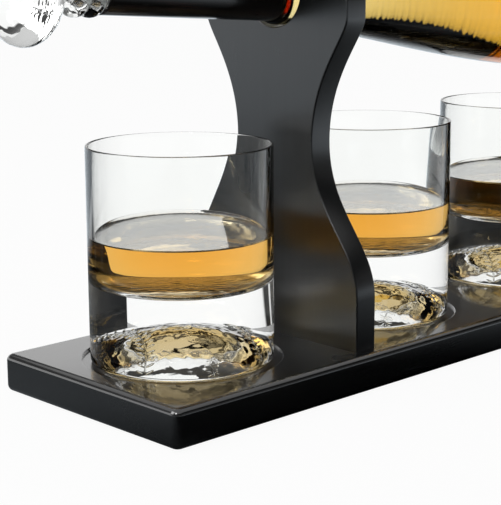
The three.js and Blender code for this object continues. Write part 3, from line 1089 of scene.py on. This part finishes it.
    def make_screws(self, upright: Upright, finish: Material) -> None:
        """Makes two countersunk screws with a rolled thread and a cross recess.

        Args:
            upright: The upright that they hold.
            finish: Their material.
        """
        x, y, depth = self.recess
        for row, axis in self.screw_places(upright).items():
            blank, cross = self.screw_blank(), []
            for turn in (0, QUARTER_TURN):
                bar = rounded_plate([(-x, -y), (x, -y), (x, y), (-x, y)], depth, self.recess_edge, 1)
                start = Matrix.Translation((0, 0, self.recess_start * MM))
                bar.transform(Matrix.Rotation(turn, 4, "Z") @ start)
                cross.append(tidied(bar))
            screw = cut(blank, cross)
            screw.transform(axis.matrix())
            name, node = f"{upright.name}_wood_screw_{row}", f"{upright.name}_screw_{row}"
            shown(name, tidied(screw), finish, "stand", [node])

    def make(self, flat: Material, tall: Material) -> None:
        """Builds and dresses the whole stand.

        Args:
            flat: The board's material.
            tall: The uprights' material.
        """
        self.make_board(flat)
        self.make_pads(Elastomer().make())
        for upright in self.uprights:
            self.make_upright(upright, tall)
        steel = ZincSteel().make()
        for upright in self.uprights:
            self.make_screws(upright, steel)


# Decanter and stopper


@dataclass
class Decanter:
    """The glass bat with its grip and its whisky, along its own axis."""

    tilt: float = math.radians(2.8)
    neck_x: float = -115.997
    axis_height: float = 170.609
    segments: int = 160
    neck: Pair = (7.6, 6.0)  # outer and bore radius
    shoulder: Triple = (12.65, 2.4, 2.6)  # radius, corner round, wall
    shoulder_face: float = -7.0
    bore_flare: float = 12.0
    barrel: Pair = (34.0, 2.8)  # radius and wall
    barrel_start: float = 222.277
    barrel_end: float = 384.4
    end_depth: float = 30.0
    flank_shares: Triple = (0.247, 0.204, 0.42)
    bead_top: float = 10.6
    bead_rounds: Pair = (3.8, 4.0)
    bead_spacing: float = 7.7
    mouth_chamfer: float = 0.7
    grip_length: float = 96.5
    grip_radii: Pair = (9.45, 11.05)
    grip_round: float = 1.0
    grip_segments: int = 48
    whisky_level: float = 170.0
    whisky_overlap: float = 0.12
    axis: Axis = field(init=False)

    def __post_init__(self) -> None:
        """Works out the places that follow from the sizes."""
        self.axis = Axis(self.neck_x, 0, self.axis_height, QUARTER_TURN + self.tilt)
        self.grip_end = self.shoulder_face - FIT_GAP
        self.grip_start = self.grip_end - self.grip_length
        self.inner_bead = self.grip_start - FIT_GAP - self.bead_rounds[1]
        self.mouth_bead = self.inner_bead - self.bead_spacing
        self.mouth_face = self.mouth_bead - self.bead_rounds[0]

    def flank(self, shoulder_inset: float, barrel_inset: float) -> list[Pair]:
        """Draws the flank's curve from shoulder to barrel.

        Args:
            shoulder_inset: How far inside the glass it starts.
            barrel_inset: How far inside the glass it ends.

        Returns:
            The curve's points.
        """
        start, end = self.shoulder[0] - shoulder_inset, self.barrel[0] - barrel_inset
        first = -self.shoulder_face
        length, rise = self.barrel_start - first, end - start
        near, up, far = self.flank_shares
        corners = [
            (start, first),
            (start + up * rise, first + near * length),
            (end, self.barrel_start - far * length),
            (end, self.barrel_start),
        ]
        return bezier(corners, 64)

    def dome(self, inset: float) -> list[Pair]:
        """The barrel's closed end, from its side to the axis, so far inside the glass."""
        radii = (self.barrel[0] - inset, self.end_depth - inset)
        return arc((0.0, self.barrel_end - self.end_depth), radii, 0, QUARTER_TURN, 32)

    def inside(self, grow: float = 0.0) -> list[Pair]:
        """Draws the inside, from the closed end to the bore's opening.

        Args:
            grow: How far into the wall it lies.

        Returns:
            The points.
        """
        flare = self.shoulder_face - self.bore_flare / 2
        inner = self.shoulder[0] - self.shoulder[2] + grow
        bore = self.neck[1] + grow
        middle = flare + self.bore_flare / 2
        opening = [(inner, flare + self.bore_flare), (inner, middle), (bore, middle), (bore, flare)]
        return [
            *reversed(self.dome(self.barrel[1] - grow)),
            *reversed(self.flank(self.shoulder[2] - grow, self.barrel[1] - grow)),
            *bezier(opening, 16),
        ]

    def outside(self) -> list[Pair]:
        """Draws the outside: two beads, the neck, the shoulder, the flank and the barrel.

        Returns:
            The points.
        """
        first, second = self.bead_rounds
        top, half = self.bead_top, self.bead_spacing / 2
        meeting = [math.asin(half / max(r, half)) for r in (first, second)]
        foot = math.acos((self.neck[0] - (top - second)) / second)
        radius, corner, _ = self.shoulder
        return [
            *arc((top - first, self.mouth_bead), (first, first), -QUARTER_TURN, meeting[0], 24),
            *arc((top - second, self.inner_bead), (second, second), -meeting[1], foot, 24),
            (self.neck[0], self.shoulder_face),
            *arc((radius - corner, self.shoulder_face + corner), (corner, corner), -QUARTER_TURN, 0, 8),
            *self.flank(0, 0),
            *self.dome(0),
        ]

    def make_bottle(self, finish: Material) -> None:
        """Makes the whole glass as one closed wall, in place of its three CAD lengths.

        Args:
            finish: Its material.
        """
        bore, chamfer = self.neck[1], self.mouth_chamfer
        mouth = [(bore, self.mouth_face + chamfer), (bore + chamfer, self.mouth_face)]
        mesh = self.axis.turned([*self.inside(), *mouth, *self.outside()], self.segments)
        lengths = ["bottle_neck", "bottle_flank", "bottle_barrel"]
        shown("decanter_glass", mesh, finish, "decanter", lengths)

    def make_grip(self, side: int, finish: Material) -> None:
        """Makes one half of the grip.

        Args:
            side: -1 is the front half and 1 the back one.
            finish: Its material.
        """
        r, inner = self.grip_round, self.neck[0] + FIT_GAP
        start = (self.grip_radii[0] - r, self.grip_start + r)
        end = (self.grip_radii[1] - r, self.grip_end - r)
        profile = without_repeats([
            (inner, self.grip_start),
            *arc(start, (r, r), -QUARTER_TURN, 0, 6),
            *arc(end, (r, r), 0, QUARTER_TURN, 6),
            (inner, self.grip_end),
        ])
        steps, count = self.grip_segments, len(profile)
        vertices = []
        for k in range(steps + 1):
            for radius, along in profile:
                least = math.asin(FIT_GAP / 2 / radius)
                angle = side * (least + (HALF_TURN - 2 * least) * k / steps)
                vertices.append(Vector((radius * math.cos(angle), radius * math.sin(angle), along)) * MM)
        ends = [tuple(range(count)), tuple(steps * count + i for i in range(count))]
        mesh = bpy.data.meshes.new("grip")
        mesh.from_pydata(vertices, [], strips(steps + 1, count) + ends)
        mesh.transform(self.axis.matrix())
        name = "grip_front_half" if side < 0 else "grip_back_half"
        shown(f"turned_{name}", tidied(mesh), finish, "decanter", [name])

    def make_whisky(self, finish: Material) -> None:
        """Makes the whisky that lies in the glass, up to a level surface.

        Args:
            finish: Its material.
        """
        filling = [*self.inside(self.whisky_overlap), (0, self.inside()[-1][1])]
        mesh = self.axis.turned(filling, self.segments)
        cut_level(mesh, self.whisky_level, 1)
        shown("whisky_in_decanter", tidied(mesh), finish, "decanter")

    def make(self, glass: Material, spirit: Material) -> None:
        """Builds and dresses the decanter.

        Args:
            glass: The bottle's material.
            spirit: The whisky's material.
        """
        self.make_bottle(glass)
        grip = GripLacquer(lean=self.axis.lean).make()
        for side in (-1, 1):
            self.make_grip(side, grip)
        self.make_whisky(spirit)


@dataclass
class Stopper:
    """The glass stopper and its two silicone rings, along the decanter's axis."""

    knob: Pair = (22.15, 12.45)  # radius and half thickness
    knob_steps: int = 288  # enough for its faint rings
    standoff: float = 20.1
    fillet: float = 2.4
    neck_radius: float = 4.0
    plug: Triple = (4.8, 22.0, 2.0)  # radius, length, entry
    ring_section: float = 0.9
    ring_segments: int = 64
    groove_share: float = 0.25
    ring_shares: Pair = (0.32, 0.72)
    swell_pitch: float = 2.6  # of the faint rings that the knob's mould leaves
    swell_depth: float = 0.03
    swell_fade: float = 6.0  # the radius within which they die out toward the axis
    swell_outer_share: float = 0.3  # what is left of them on the knob's outer side
    segments: int = 128

    def swelled(self, outline: Sequence[Pair], centre: float) -> list[Pair]:
        """Gives the knob's outline its faint rings, cut inwards only.

        Args:
            outline: The knob's outline.
            centre: The knob's centre along the axis.

        Returns:
            The outline with its rings.
        """
        made, way = [], 0.0
        radius, thick = self.knob
        for i, (r, z) in enumerate(outline):
            way += math.dist(outline[i - 1], (r, z)) if i else 0.0
            fade = min(1.0, r / self.swell_fade) if z > centre else self.swell_outer_share
            wave = 0.5 - 0.5 * math.cos(FULL_TURN * way / self.swell_pitch)
            depth = fade * self.swell_depth * wave
            made.append((r * (1 - depth / radius), centre + (z - centre) * (1 - depth / thick)))
        return made

    def make(self, decanter: Decanter, glass: Material) -> None:
        """Builds the stopper and its rings on the decanter's axis.

        Args:
            decanter: The decanter that it closes.
            glass: Its material.
        """
        face, (radius, thick) = decanter.mouth_face, self.knob
        plug, length, entry = self.plug
        centre = face - self.standoff
        corner = self.neck_radius + self.fillet
        foot = math.acos(corner / radius)
        fillet = (corner, centre + thick * math.sin(foot) + self.fillet)
        groove, half = plug * (1 - self.groove_share), self.ring_section + FIT_GAP
        places = [face + share * length for share in self.ring_shares]
        grooves = []
        for place in places:
            low, high = place - half, place + half
            grooves += [(plug, low), (groove, low), (groove, high), (plug, high)]
        profile = [
            *self.swelled(arc((0, centre), (radius, thick), -QUARTER_TURN, foot, self.knob_steps), centre),
            *arc(fillet, (self.fillet, self.fillet), -QUARTER_TURN, -HALF_TURN, 10),
            (self.neck_radius, face),
            (plug, face + entry),
            *grooves,
            (plug, face + length - entry / 2),
            (plug - entry / 2, face + length),
            (0, face + length),
        ]
        mesh = decanter.axis.turned(profile, self.segments)
        shown("glass_stopper", mesh, glass, "stopper", ["stopper"])
        silicone = Elastomer("moulded silicone", "#D2D6D6", "#E4E7E7", roughness=0.45, translucent=0.5).make()
        middle = groove + FIT_GAP + self.ring_section
        section = (self.ring_section, self.ring_section)
        for i, place in enumerate(places, 1):
            ring = decanter.axis.turned(arc((middle, place), section, 0, FULL_TURN, 16), self.ring_segments)
            shown(f"silicone_ring_{i}", ring, silicone, "stopper", [f"stopper_ring_{i}"])


# Tumblers


@dataclass
class Tumbler:
    """A tumbler with a thick foot over a stitched dome, and its whisky."""

    number: int
    x: float
    base: float = 17.1
    radius: float = 40.0
    height: float = 93.8
    walls: Pair = (1.2, 2.4)  # at the rim, and from wall_height down
    wall_height: float = 58.0
    floor_height: float = 33.0
    floor_round: float = 12.0
    floor_steps: int = 24
    foot_round: float = 2.2
    dome: Pair = (32.0, 19.0)  # the hollow's radius at its mouth, and its height
    segments: int = 192
    whisky_height: float = 54.0
    whisky_overlap: float = 0.12
    meniscus: Triple = (1.3, 1.1, 0.15)  # its rise, its reach and its thickness at the wall
    meniscus_places: tuple[float, ...] = (0, 0.3, 0.7, 1.2, 2, 3, 4.5, 7)  # inward from the wall
    whisky_sharp_degrees: float = 60.0
    seam_turn: float = math.radians(-20)
    seam_bow: Triple = (16.0, 7.0, 20.0)  # least distance from the middle, its growth, half length
    seam_steps: int = 48
    stitch: Triple = (4.2, 0.9, 3.2)  # length, width and spacing
    stitch_lean: float = math.radians(62)
    ripple_mm: float = 2.5  # spacing of the swells that pressing leaves in the glass
    ripple_fine: Pair = (2.1, 0.5)  # how much finer its second swells are, and their share
    ripple_seed: float = 7.3  # times the tumbler's number
    floor_ripple: float = 0.16
    dome_ripple: float = 0.14
    ripple_fade: Pair = (4.0, 3.0)  # way over which they die out, at the floor's and the dome's rim

    def dome_sphere(self) -> float:
        """The radius of the sphere that the hollow is part of."""
        radius, height = self.dome
        return (radius**2 + height**2) / (2 * height)

    def profile(self) -> list[Pair]:
        """Draws the glass, from the dome's crown down, round the foot, over the rim and in.

        Returns:
            The points.
        """
        sphere = self.dome_sphere()
        crown = (0.0, self.dome[1] - sphere)
        mouth = math.asin((sphere - self.dome[1]) / sphere)
        foot, lip = self.foot_round, self.walls[0] / 2
        inner, bend = self.radius - self.walls[1], self.floor_round
        return [
            *arc(crown, (sphere, sphere), QUARTER_TURN, mouth, 48),
            *arc((self.radius - foot, foot), (foot, foot), -QUARTER_TURN, 0, 10),
            *arc((self.radius - lip, self.height - lip), (lip, lip), 0, HALF_TURN, 12),
            (inner, self.wall_height),
            *arc((inner - bend, self.floor_height + bend), (bend, bend), 0, -QUARTER_TURN, 16),
            *self.floor_line(inner - bend, self.floor_height),
        ]

    def floor_line(self, reach: float, height: float) -> list[Pair]:
        """Points at a height from a reach to the axis, close enough to ripple."""
        return [(reach * (1 - i / self.floor_steps), height) for i in range(1, self.floor_steps + 1)]

    def ripple(self, place: Vector) -> float:
        """Works out how far the pressed glass swells at a place.

        Args:
            place: The place, from the middle of the tumbler's foot.

        Returns:
            The swell, as a share of the greatest.
        """
        seed = Vector((0, 0, self.ripple_seed * self.number))
        finer, share = self.ripple_fine
        slow = noise.noise(place / self.ripple_mm + seed)
        return slow + share * noise.noise(place * finer / self.ripple_mm - seed)

    def rippled(self, mesh: Mesh, floor: float) -> None:
        """Gives the inner floor and the dome the uneven skin of pressed glass.

        Args:
            mesh: The glass or the whisky, in place.
            floor: The height of its flat floor.
        """
        origin, sphere = Vector((self.x, 0, self.base)), self.dome_sphere()
        crown = Vector((0, 0, self.dome[1] - sphere))
        flat = self.radius - self.walls[1] - self.floor_round
        floor_fade, dome_fade = self.ripple_fade
        for vertex in mesh.vertices:
            p = vertex.co / MM - origin
            reach = p.xy.length
            if abs(p.z - floor) < ON_SURFACE and reach < flat:
                fade = min(1, (flat - reach) / floor_fade)
                vertex.co.z += self.floor_ripple * fade * self.ripple(Vector((p.x, p.y, 0))) * MM
            elif reach < self.dome[0] and abs((p - crown).length - sphere) < ON_SURFACE:
                fade = min(1, (self.dome[0] - reach) / dome_fade)
                vertex.co += (p - crown).normalized() * self.dome_ripple * fade * self.ripple(p) * MM

    def seams(self, finish: Material) -> list[Mesh]:
        """Makes two stitched seams that curve over the dome, as on a stitched ball.

        Args:
            finish: Their material.

        Returns:
            The two meshes, round the foot's middle.
        """
        sphere = self.dome_sphere()
        centre = Vector((0, 0, self.dome[1] - sphere))
        least, growth, reach = self.seam_bow
        length, width, spacing = (size * MM for size in self.stitch)
        made = []
        for side in (-1, 1):
            line = []
            for i in range(self.seam_steps + 1):
                s = 2 * i / self.seam_steps - 1
                across, along = side * (least + growth * s * s), reach * s
                height = math.sqrt(max(0.0, sphere**2 - across**2 - along**2))
                line.append((Vector((across, along, height)) + centre) * MM)
            made.append(STITCHING.run(
                line, Spacing=spacing, Length=length, Width=width, Lean=self.stitch_lean,
                Dome_Centre=centre * MM, Finish=finish,
            ))
        for mesh in made:
            mesh.transform(Matrix.Rotation(self.seam_turn, 4, "Z"))
        return made

    def filling(self, floor: float) -> list[Pair]:
        """Draws the whisky, from the middle of its floor out and over its surface.

        Args:
            floor: The height of its floor.

        Returns:
            The points.
        """
        inner, bend = self.radius - self.walls[1] + self.whisky_overlap, self.floor_round
        level, (rise, reach, thin) = self.whisky_height, self.meniscus
        return [
            *reversed(self.floor_line(inner - bend, floor)),
            *arc((inner - bend, floor + bend), (bend, bend), -QUARTER_TURN, 0, 16),
            (inner, level + rise),
            *[(inner - thin - d, level + rise * math.exp(-d / reach)) for d in self.meniscus_places],
            (0, level),
        ]

    def make(self, glass: Material, spirit: Material) -> None:
        """Builds the glass and its whisky.

        Args:
            glass: The glass's material.
            spirit: The whisky's material.
        """
        axis, name = Axis(self.x, 0, self.base), f"tumbler_{self.number}"
        mesh = axis.turned(self.profile(), self.segments)
        self.rippled(mesh, self.floor_height)
        seams = self.seams(glass)
        for seam in seams:
            seam.transform(axis.matrix())
        whole = joined([mesh, *seams])
        crisp(whole)
        shown(f"{name}_glass", whole, glass, name, [name])
        floor = self.floor_height - self.whisky_overlap
        poured = axis.turned(self.filling(floor), self.segments, self.whisky_sharp_degrees)
        self.rippled(poured, floor)
        shown(f"whisky_in_{name}", poured, spirit, name)


# Studio


@dataclass
class Studio:
    """The pale floor, the soft light and the camera at the photograph's place.

    A Span is two (place, level) pairs. Headings run from +X toward +Y.
    """

    camera: Triple = (-589.31, -473.01, 196.11)
    heading: float = math.radians(46.26)
    pitch: float = math.radians(11.95)  # downwards
    roll: float = math.radians(-0.31)
    lens: float = 106.13  # on a frame 36 mm wide
    floor_reach: float = 6.0  # metres
    shade: float = 0.05  # share of the paper's white that the set's shadow dims
    cool: str = "#EDF7FF"  # the daylight that the floor sends to lacquer
    left: float = math.radians(135)  # what the set's left faces mirror
    front: float = math.radians(-45)  # what its front faces mirror
    back: float = math.radians(45)  # what its undersides mirror
    left_near: Span = ((0.09, 0.0), (0.21, 0.13))  # levels of the floor in reflections, by metres
    left_dip: Span = ((0.24, 1.0), (0.4, 0.0))
    left_far: Span = ((0.36, 0.0), (1.15, 1.0))
    front_rise: Span = ((0.0, 0.0), (0.45, 0.8))
    back_rise: Span = ((0.08, 0.0), (0.25, 1.0))
    first_glass_x: float = -0.178  # metres: the flags stand round the first tumbler
    flag_headings: Pair = (math.radians(109), math.radians(-25))
    flag_half_width: float = math.radians(21)
    flag_softness: float = math.radians(2)
    flag_level: float = 0.02
    slit: Pair = (math.radians(7), math.radians(11))  # a bright gap in each flag
    slit_softness: float = math.radians(0.8)
    folded: float = 0.3  # share of the bright field in light that glass has mirrored inside
    room_heading: float = math.radians(75)  # the room's bright side
    room_side: Span = ((-0.35, 0.12), (0.5, 1.0))  # by the cosine from that heading
    room_low: Span = ((0.275, 1.0), (0.325, 0.08))  # by the sine of the elevation
    sweep: Span = ((0.4, 1.0), (0.44, 0.04))
    overhead: Span = ((0.555, 0.0), (0.59, 1.0))
    overhead_in_gloss: float = 0.45
    soft_box: tuple[Triple, float, float] = ((-1.3, 0.35, 0.95), 0.9, 6.0)  # metres, side, watts
    edge_light: tuple[Triple, float, float] = ((-0.97, -0.52, 0.81), 0.28, 2.0)
    lamp_aim: Triple = (-0.1, 0.0, 0.12)  # metres

    def make_camera(self) -> None:
        """Sets up the camera that sees what the photograph shows."""
        data = bpy.data.cameras.new("camera")
        data.lens, data.sensor_width = self.lens, 36.0
        data.clip_start, data.clip_end = 0.05, 50.0
        camera = put("camera", data)
        ahead = Vector((
            math.cos(self.heading) * math.cos(self.pitch),
            math.sin(self.heading) * math.cos(self.pitch),
            -math.sin(self.pitch),
        ))
        level = Vector((math.sin(self.heading), -math.cos(self.heading), 0))
        rise = level.cross(ahead)
        right = level * math.cos(self.roll) + rise * math.sin(self.roll)
        turn = Matrix((right, right.cross(ahead), -ahead)).transposed().to_4x4()
        camera.matrix_world = Matrix.Translation(Vector(self.camera) * MM) @ turn
        bpy.context.scene.camera = camera

    def along(self, tree: NodeTree, where: Socket, heading: float) -> Socket:
        """How far a place or a direction lies toward a heading."""
        way = {0: where, 1: (math.cos(heading), math.sin(heading), 0)}
        return add(tree, "ShaderNodeVectorMath", way, operation="DOT_PRODUCT").outputs["Value"]

    def bright_field(self, tree: NodeTree, where: Socket) -> Socket:
        """Adds white all round but for two black flags, which draw the dark edges of clear glass.

        Args:
            tree: The tree.
            where: The place on the floor, from the first glass.

        Returns:
            The level.
        """
        flat = calc(tree, "MULTIPLY", where, (1, 1, 0), kind=Maths.VECTOR)
        aim = calc(tree, "NORMALIZE", flat, kind=Maths.VECTOR)
        nearest = calc(tree, "MAXIMUM", *(self.along(tree, aim, heading) for heading in self.flag_headings))
        half, soft = self.flag_half_width, self.flag_softness
        outer, inner = (math.cos(half + soft), 1.0), (math.cos(half - soft), self.flag_level)
        flags = ramp(tree, nearest, outer, inner)
        (near, far), soft = self.slit, self.slit_softness
        opening = ramp(tree, nearest, (math.cos(far + soft), 0.0), (math.cos(far - soft), 1.0))
        closing = ramp(tree, nearest, (math.cos(near + soft), 1.0), (math.cos(near - soft), 0.0))
        return calc(tree, "MAXIMUM", flags, calc(tree, "MULTIPLY", opening, closing))

    def levels(self, tree: NodeTree, path: Node, through: Socket, room: Socket) -> Socket:
        """Adds the level that each kind of ray sees.

        Args:
            tree: The tree.
            path: Its light path node.
            through: The level straight through glass.
            room: The level in reflections.

        Returns:
            The level, which is white for the camera.
        """
        straight = calc(tree, "LESS_THAN", path.outputs["Glossy Depth"], 0.5)
        share = calc(tree, "MAXIMUM", straight, self.folded)
        clear = calc(tree, "MULTIPLY", path.outputs["Is Transmission Ray"], share)
        inside = add(tree, "ShaderNodeMix", {0: clear, 2: room, 3: through}).outputs[0]
        return add(tree, "ShaderNodeMix", {0: path.outputs["Is Camera Ray"], 2: inside, 3: 1.0}).outputs[0]

    def floor_in_gloss(self, tree: NodeTree, where: Socket) -> Socket:
        """Adds how bright the floor is in what lacquer and glass mirror: dark round the set.

        Args:
            tree: The tree.
            where: The place on the floor.

        Returns:
            The level.
        """
        leftward = self.along(tree, where, self.left)
        near = ramp(tree, leftward, *self.left_near)
        beside = calc(tree, "MULTIPLY", near, ramp(tree, leftward, *self.left_dip))
        beyond = ramp(tree, leftward, *self.left_far)
        ahead = ramp(tree, self.along(tree, where, self.front), *self.front_rise)
        behind = ramp(tree, self.along(tree, where, self.back), *self.back_rise)
        left, others = calc(tree, "MAXIMUM", beside, beyond), calc(tree, "MAXIMUM", ahead, behind)
        return calc(tree, "MAXIMUM", left, others)

    def make_floor(self) -> None:
        """Makes white paper that keeps the set's shadow and is darker near the set in reflections."""
        mesh = bpy.data.meshes.new("floor")
        r = self.floor_reach
        mesh.from_pydata([(-r, -r, 0), (r, -r, 0), (r, r, 0), (-r, r, 0)], [], [(0, 1, 2, 3)])
        floor = put("studio_floor", mesh)
        made, tree, shader = new_material("white background paper")
        fill(tree, shader, {"Base Color": linear("#FAFAFA"), "Roughness": 1.0, "Specular IOR Level": 0.0})
        path = add(tree, "ShaderNodeLightPath")
        camera, glossy, transmitted, diffuse = (
            path.outputs[f"Is {kind} Ray"] for kind in ("Camera", "Glossy", "Transmission", "Diffuse")
        )
        where = add(tree, "ShaderNodeTexCoord").outputs["Object"]
        from_glass = calc(tree, "SUBTRACT", where, (self.first_glass_x, 0, 0), kind=Maths.VECTOR)
        through = self.bright_field(tree, from_glass)
        strength = self.levels(tree, path, through, self.floor_in_gloss(tree, where))
        share = calc(tree, "SUBTRACT", glossy, transmitted, use_clamp=True)
        colours = {0: share, "A": linear("#FFFFFF"), "B": linear(self.cool)}
        tint = add(tree, "ShaderNodeMix", colours, data_type="RGBA")
        glow = add(tree, "ShaderNodeEmission", {"Color": tint.outputs["Result"], "Strength": strength})
        lit = calc(tree, "MAXIMUM", diffuse, calc(tree, "MULTIPLY", camera, self.shade))
        mixed = add(tree, "ShaderNodeMixShader", {0: lit, 1: glow.outputs[0], 2: shader.outputs[0]})
        fill(tree, tree.nodes["Material Output"], {"Surface": mixed.outputs[0]})
        mesh.materials.append(made)

    def lamp(self, name: str, place: Triple, size: float, watts: float) -> None:
        """Hangs a square soft lamp that faces the set.

        Args:
            name: Its name.
            place: Where it hangs, in metres.
            size: Its side in metres.
            watts: Its power.
        """
        data = bpy.data.lights.new(name, "AREA")
        data.shape, data.size, data.energy = "SQUARE", size, watts
        lamp = put(name, data)
        aim = (Vector(self.lamp_aim) - Vector(place)).to_track_quat("-Z", "Y")
        lamp.matrix_world = Matrix.Translation(Vector(place)) @ aim.to_matrix().to_4x4()

    def make_light(self) -> None:
        """Sets up a white background, a dim room in front and two soft lamps at the left."""
        world = bpy.data.worlds.new("studio")
        bpy.context.scene.world = world
        world.use_nodes = True
        tree = world.node_tree
        tree.nodes.clear()
        path = add(tree, "ShaderNodeLightPath")
        aim = add(tree, "ShaderNodeTexCoord").outputs["Generated"]
        height = add(tree, "ShaderNodeSeparateXYZ", {0: aim}).outputs["Z"]
        lit_side = ramp(tree, self.along(tree, aim, self.room_heading), *self.room_side)
        sides = calc(tree, "MULTIPLY", lit_side, ramp(tree, height, *self.room_low))
        overhead = ramp(tree, height, *self.overhead)
        room = calc(tree, "MULTIPLY_ADD", overhead, self.overhead_in_gloss, sides)
        through = calc(tree, "MAXIMUM", ramp(tree, height, *self.sweep), overhead)
        strength = self.levels(tree, path, through, room)
        back = add(tree, "ShaderNodeBackground", {"Color": linear("#FFFFFF"), "Strength": strength})
        add(tree, "ShaderNodeOutputWorld", {"Surface": back.outputs[0]})
        self.lamp("soft_box", *self.soft_box)
        self.lamp("edge_light", *self.edge_light)

    def make(self) -> None:
        """Sets up the whole studio."""
        self.make_camera()
        self.make_floor()
        self.make_light()
        bpy.context.scene.view_settings.view_transform = "Standard"


def main() -> None:
    """Builds the studio and every sub-assembly."""
    logging.basicConfig(level=logging.INFO, format="%(name)s: %(message)s")
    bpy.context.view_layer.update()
    Studio().make()
    pressed, spirit = MouldedGlass(ground_below=17.4).make(), Spirit().make()
    blown = MouldedGlass(
        "blown soda-lime glass", wave_mm=4.0, wave_depth_mm=0.02, wave_stretch=(1.0, 0.3, 0.3)
    )
    turned = MouldedGlass(
        "turned glass of the stopper", wave_mm=1.6, wave_depth_mm=0.35, wave_stretch=(1.0, 0.12, 0.12)
    )
    blown_glass, turned_glass = blown.make(), turned.make()
    satin = BlackLacquer("black lacquer on the uprights", coat=0.35, coat_roughness=0.25, grain_axis=2)
    stand = Stand()
    stand.make(BlackLacquer().make(), satin.make())
    decanter = Decanter()
    decanter.make(blown_glass, Spirit("whisky in the long glass", tint="#FFF0A9").make())
    Stopper().make(decanter, turned_glass)
    for number, x in enumerate(stand.tumbler_x, 1):
        Tumbler(number, x).make(pressed, spirit)


if __name__ == "__main__":
    main()
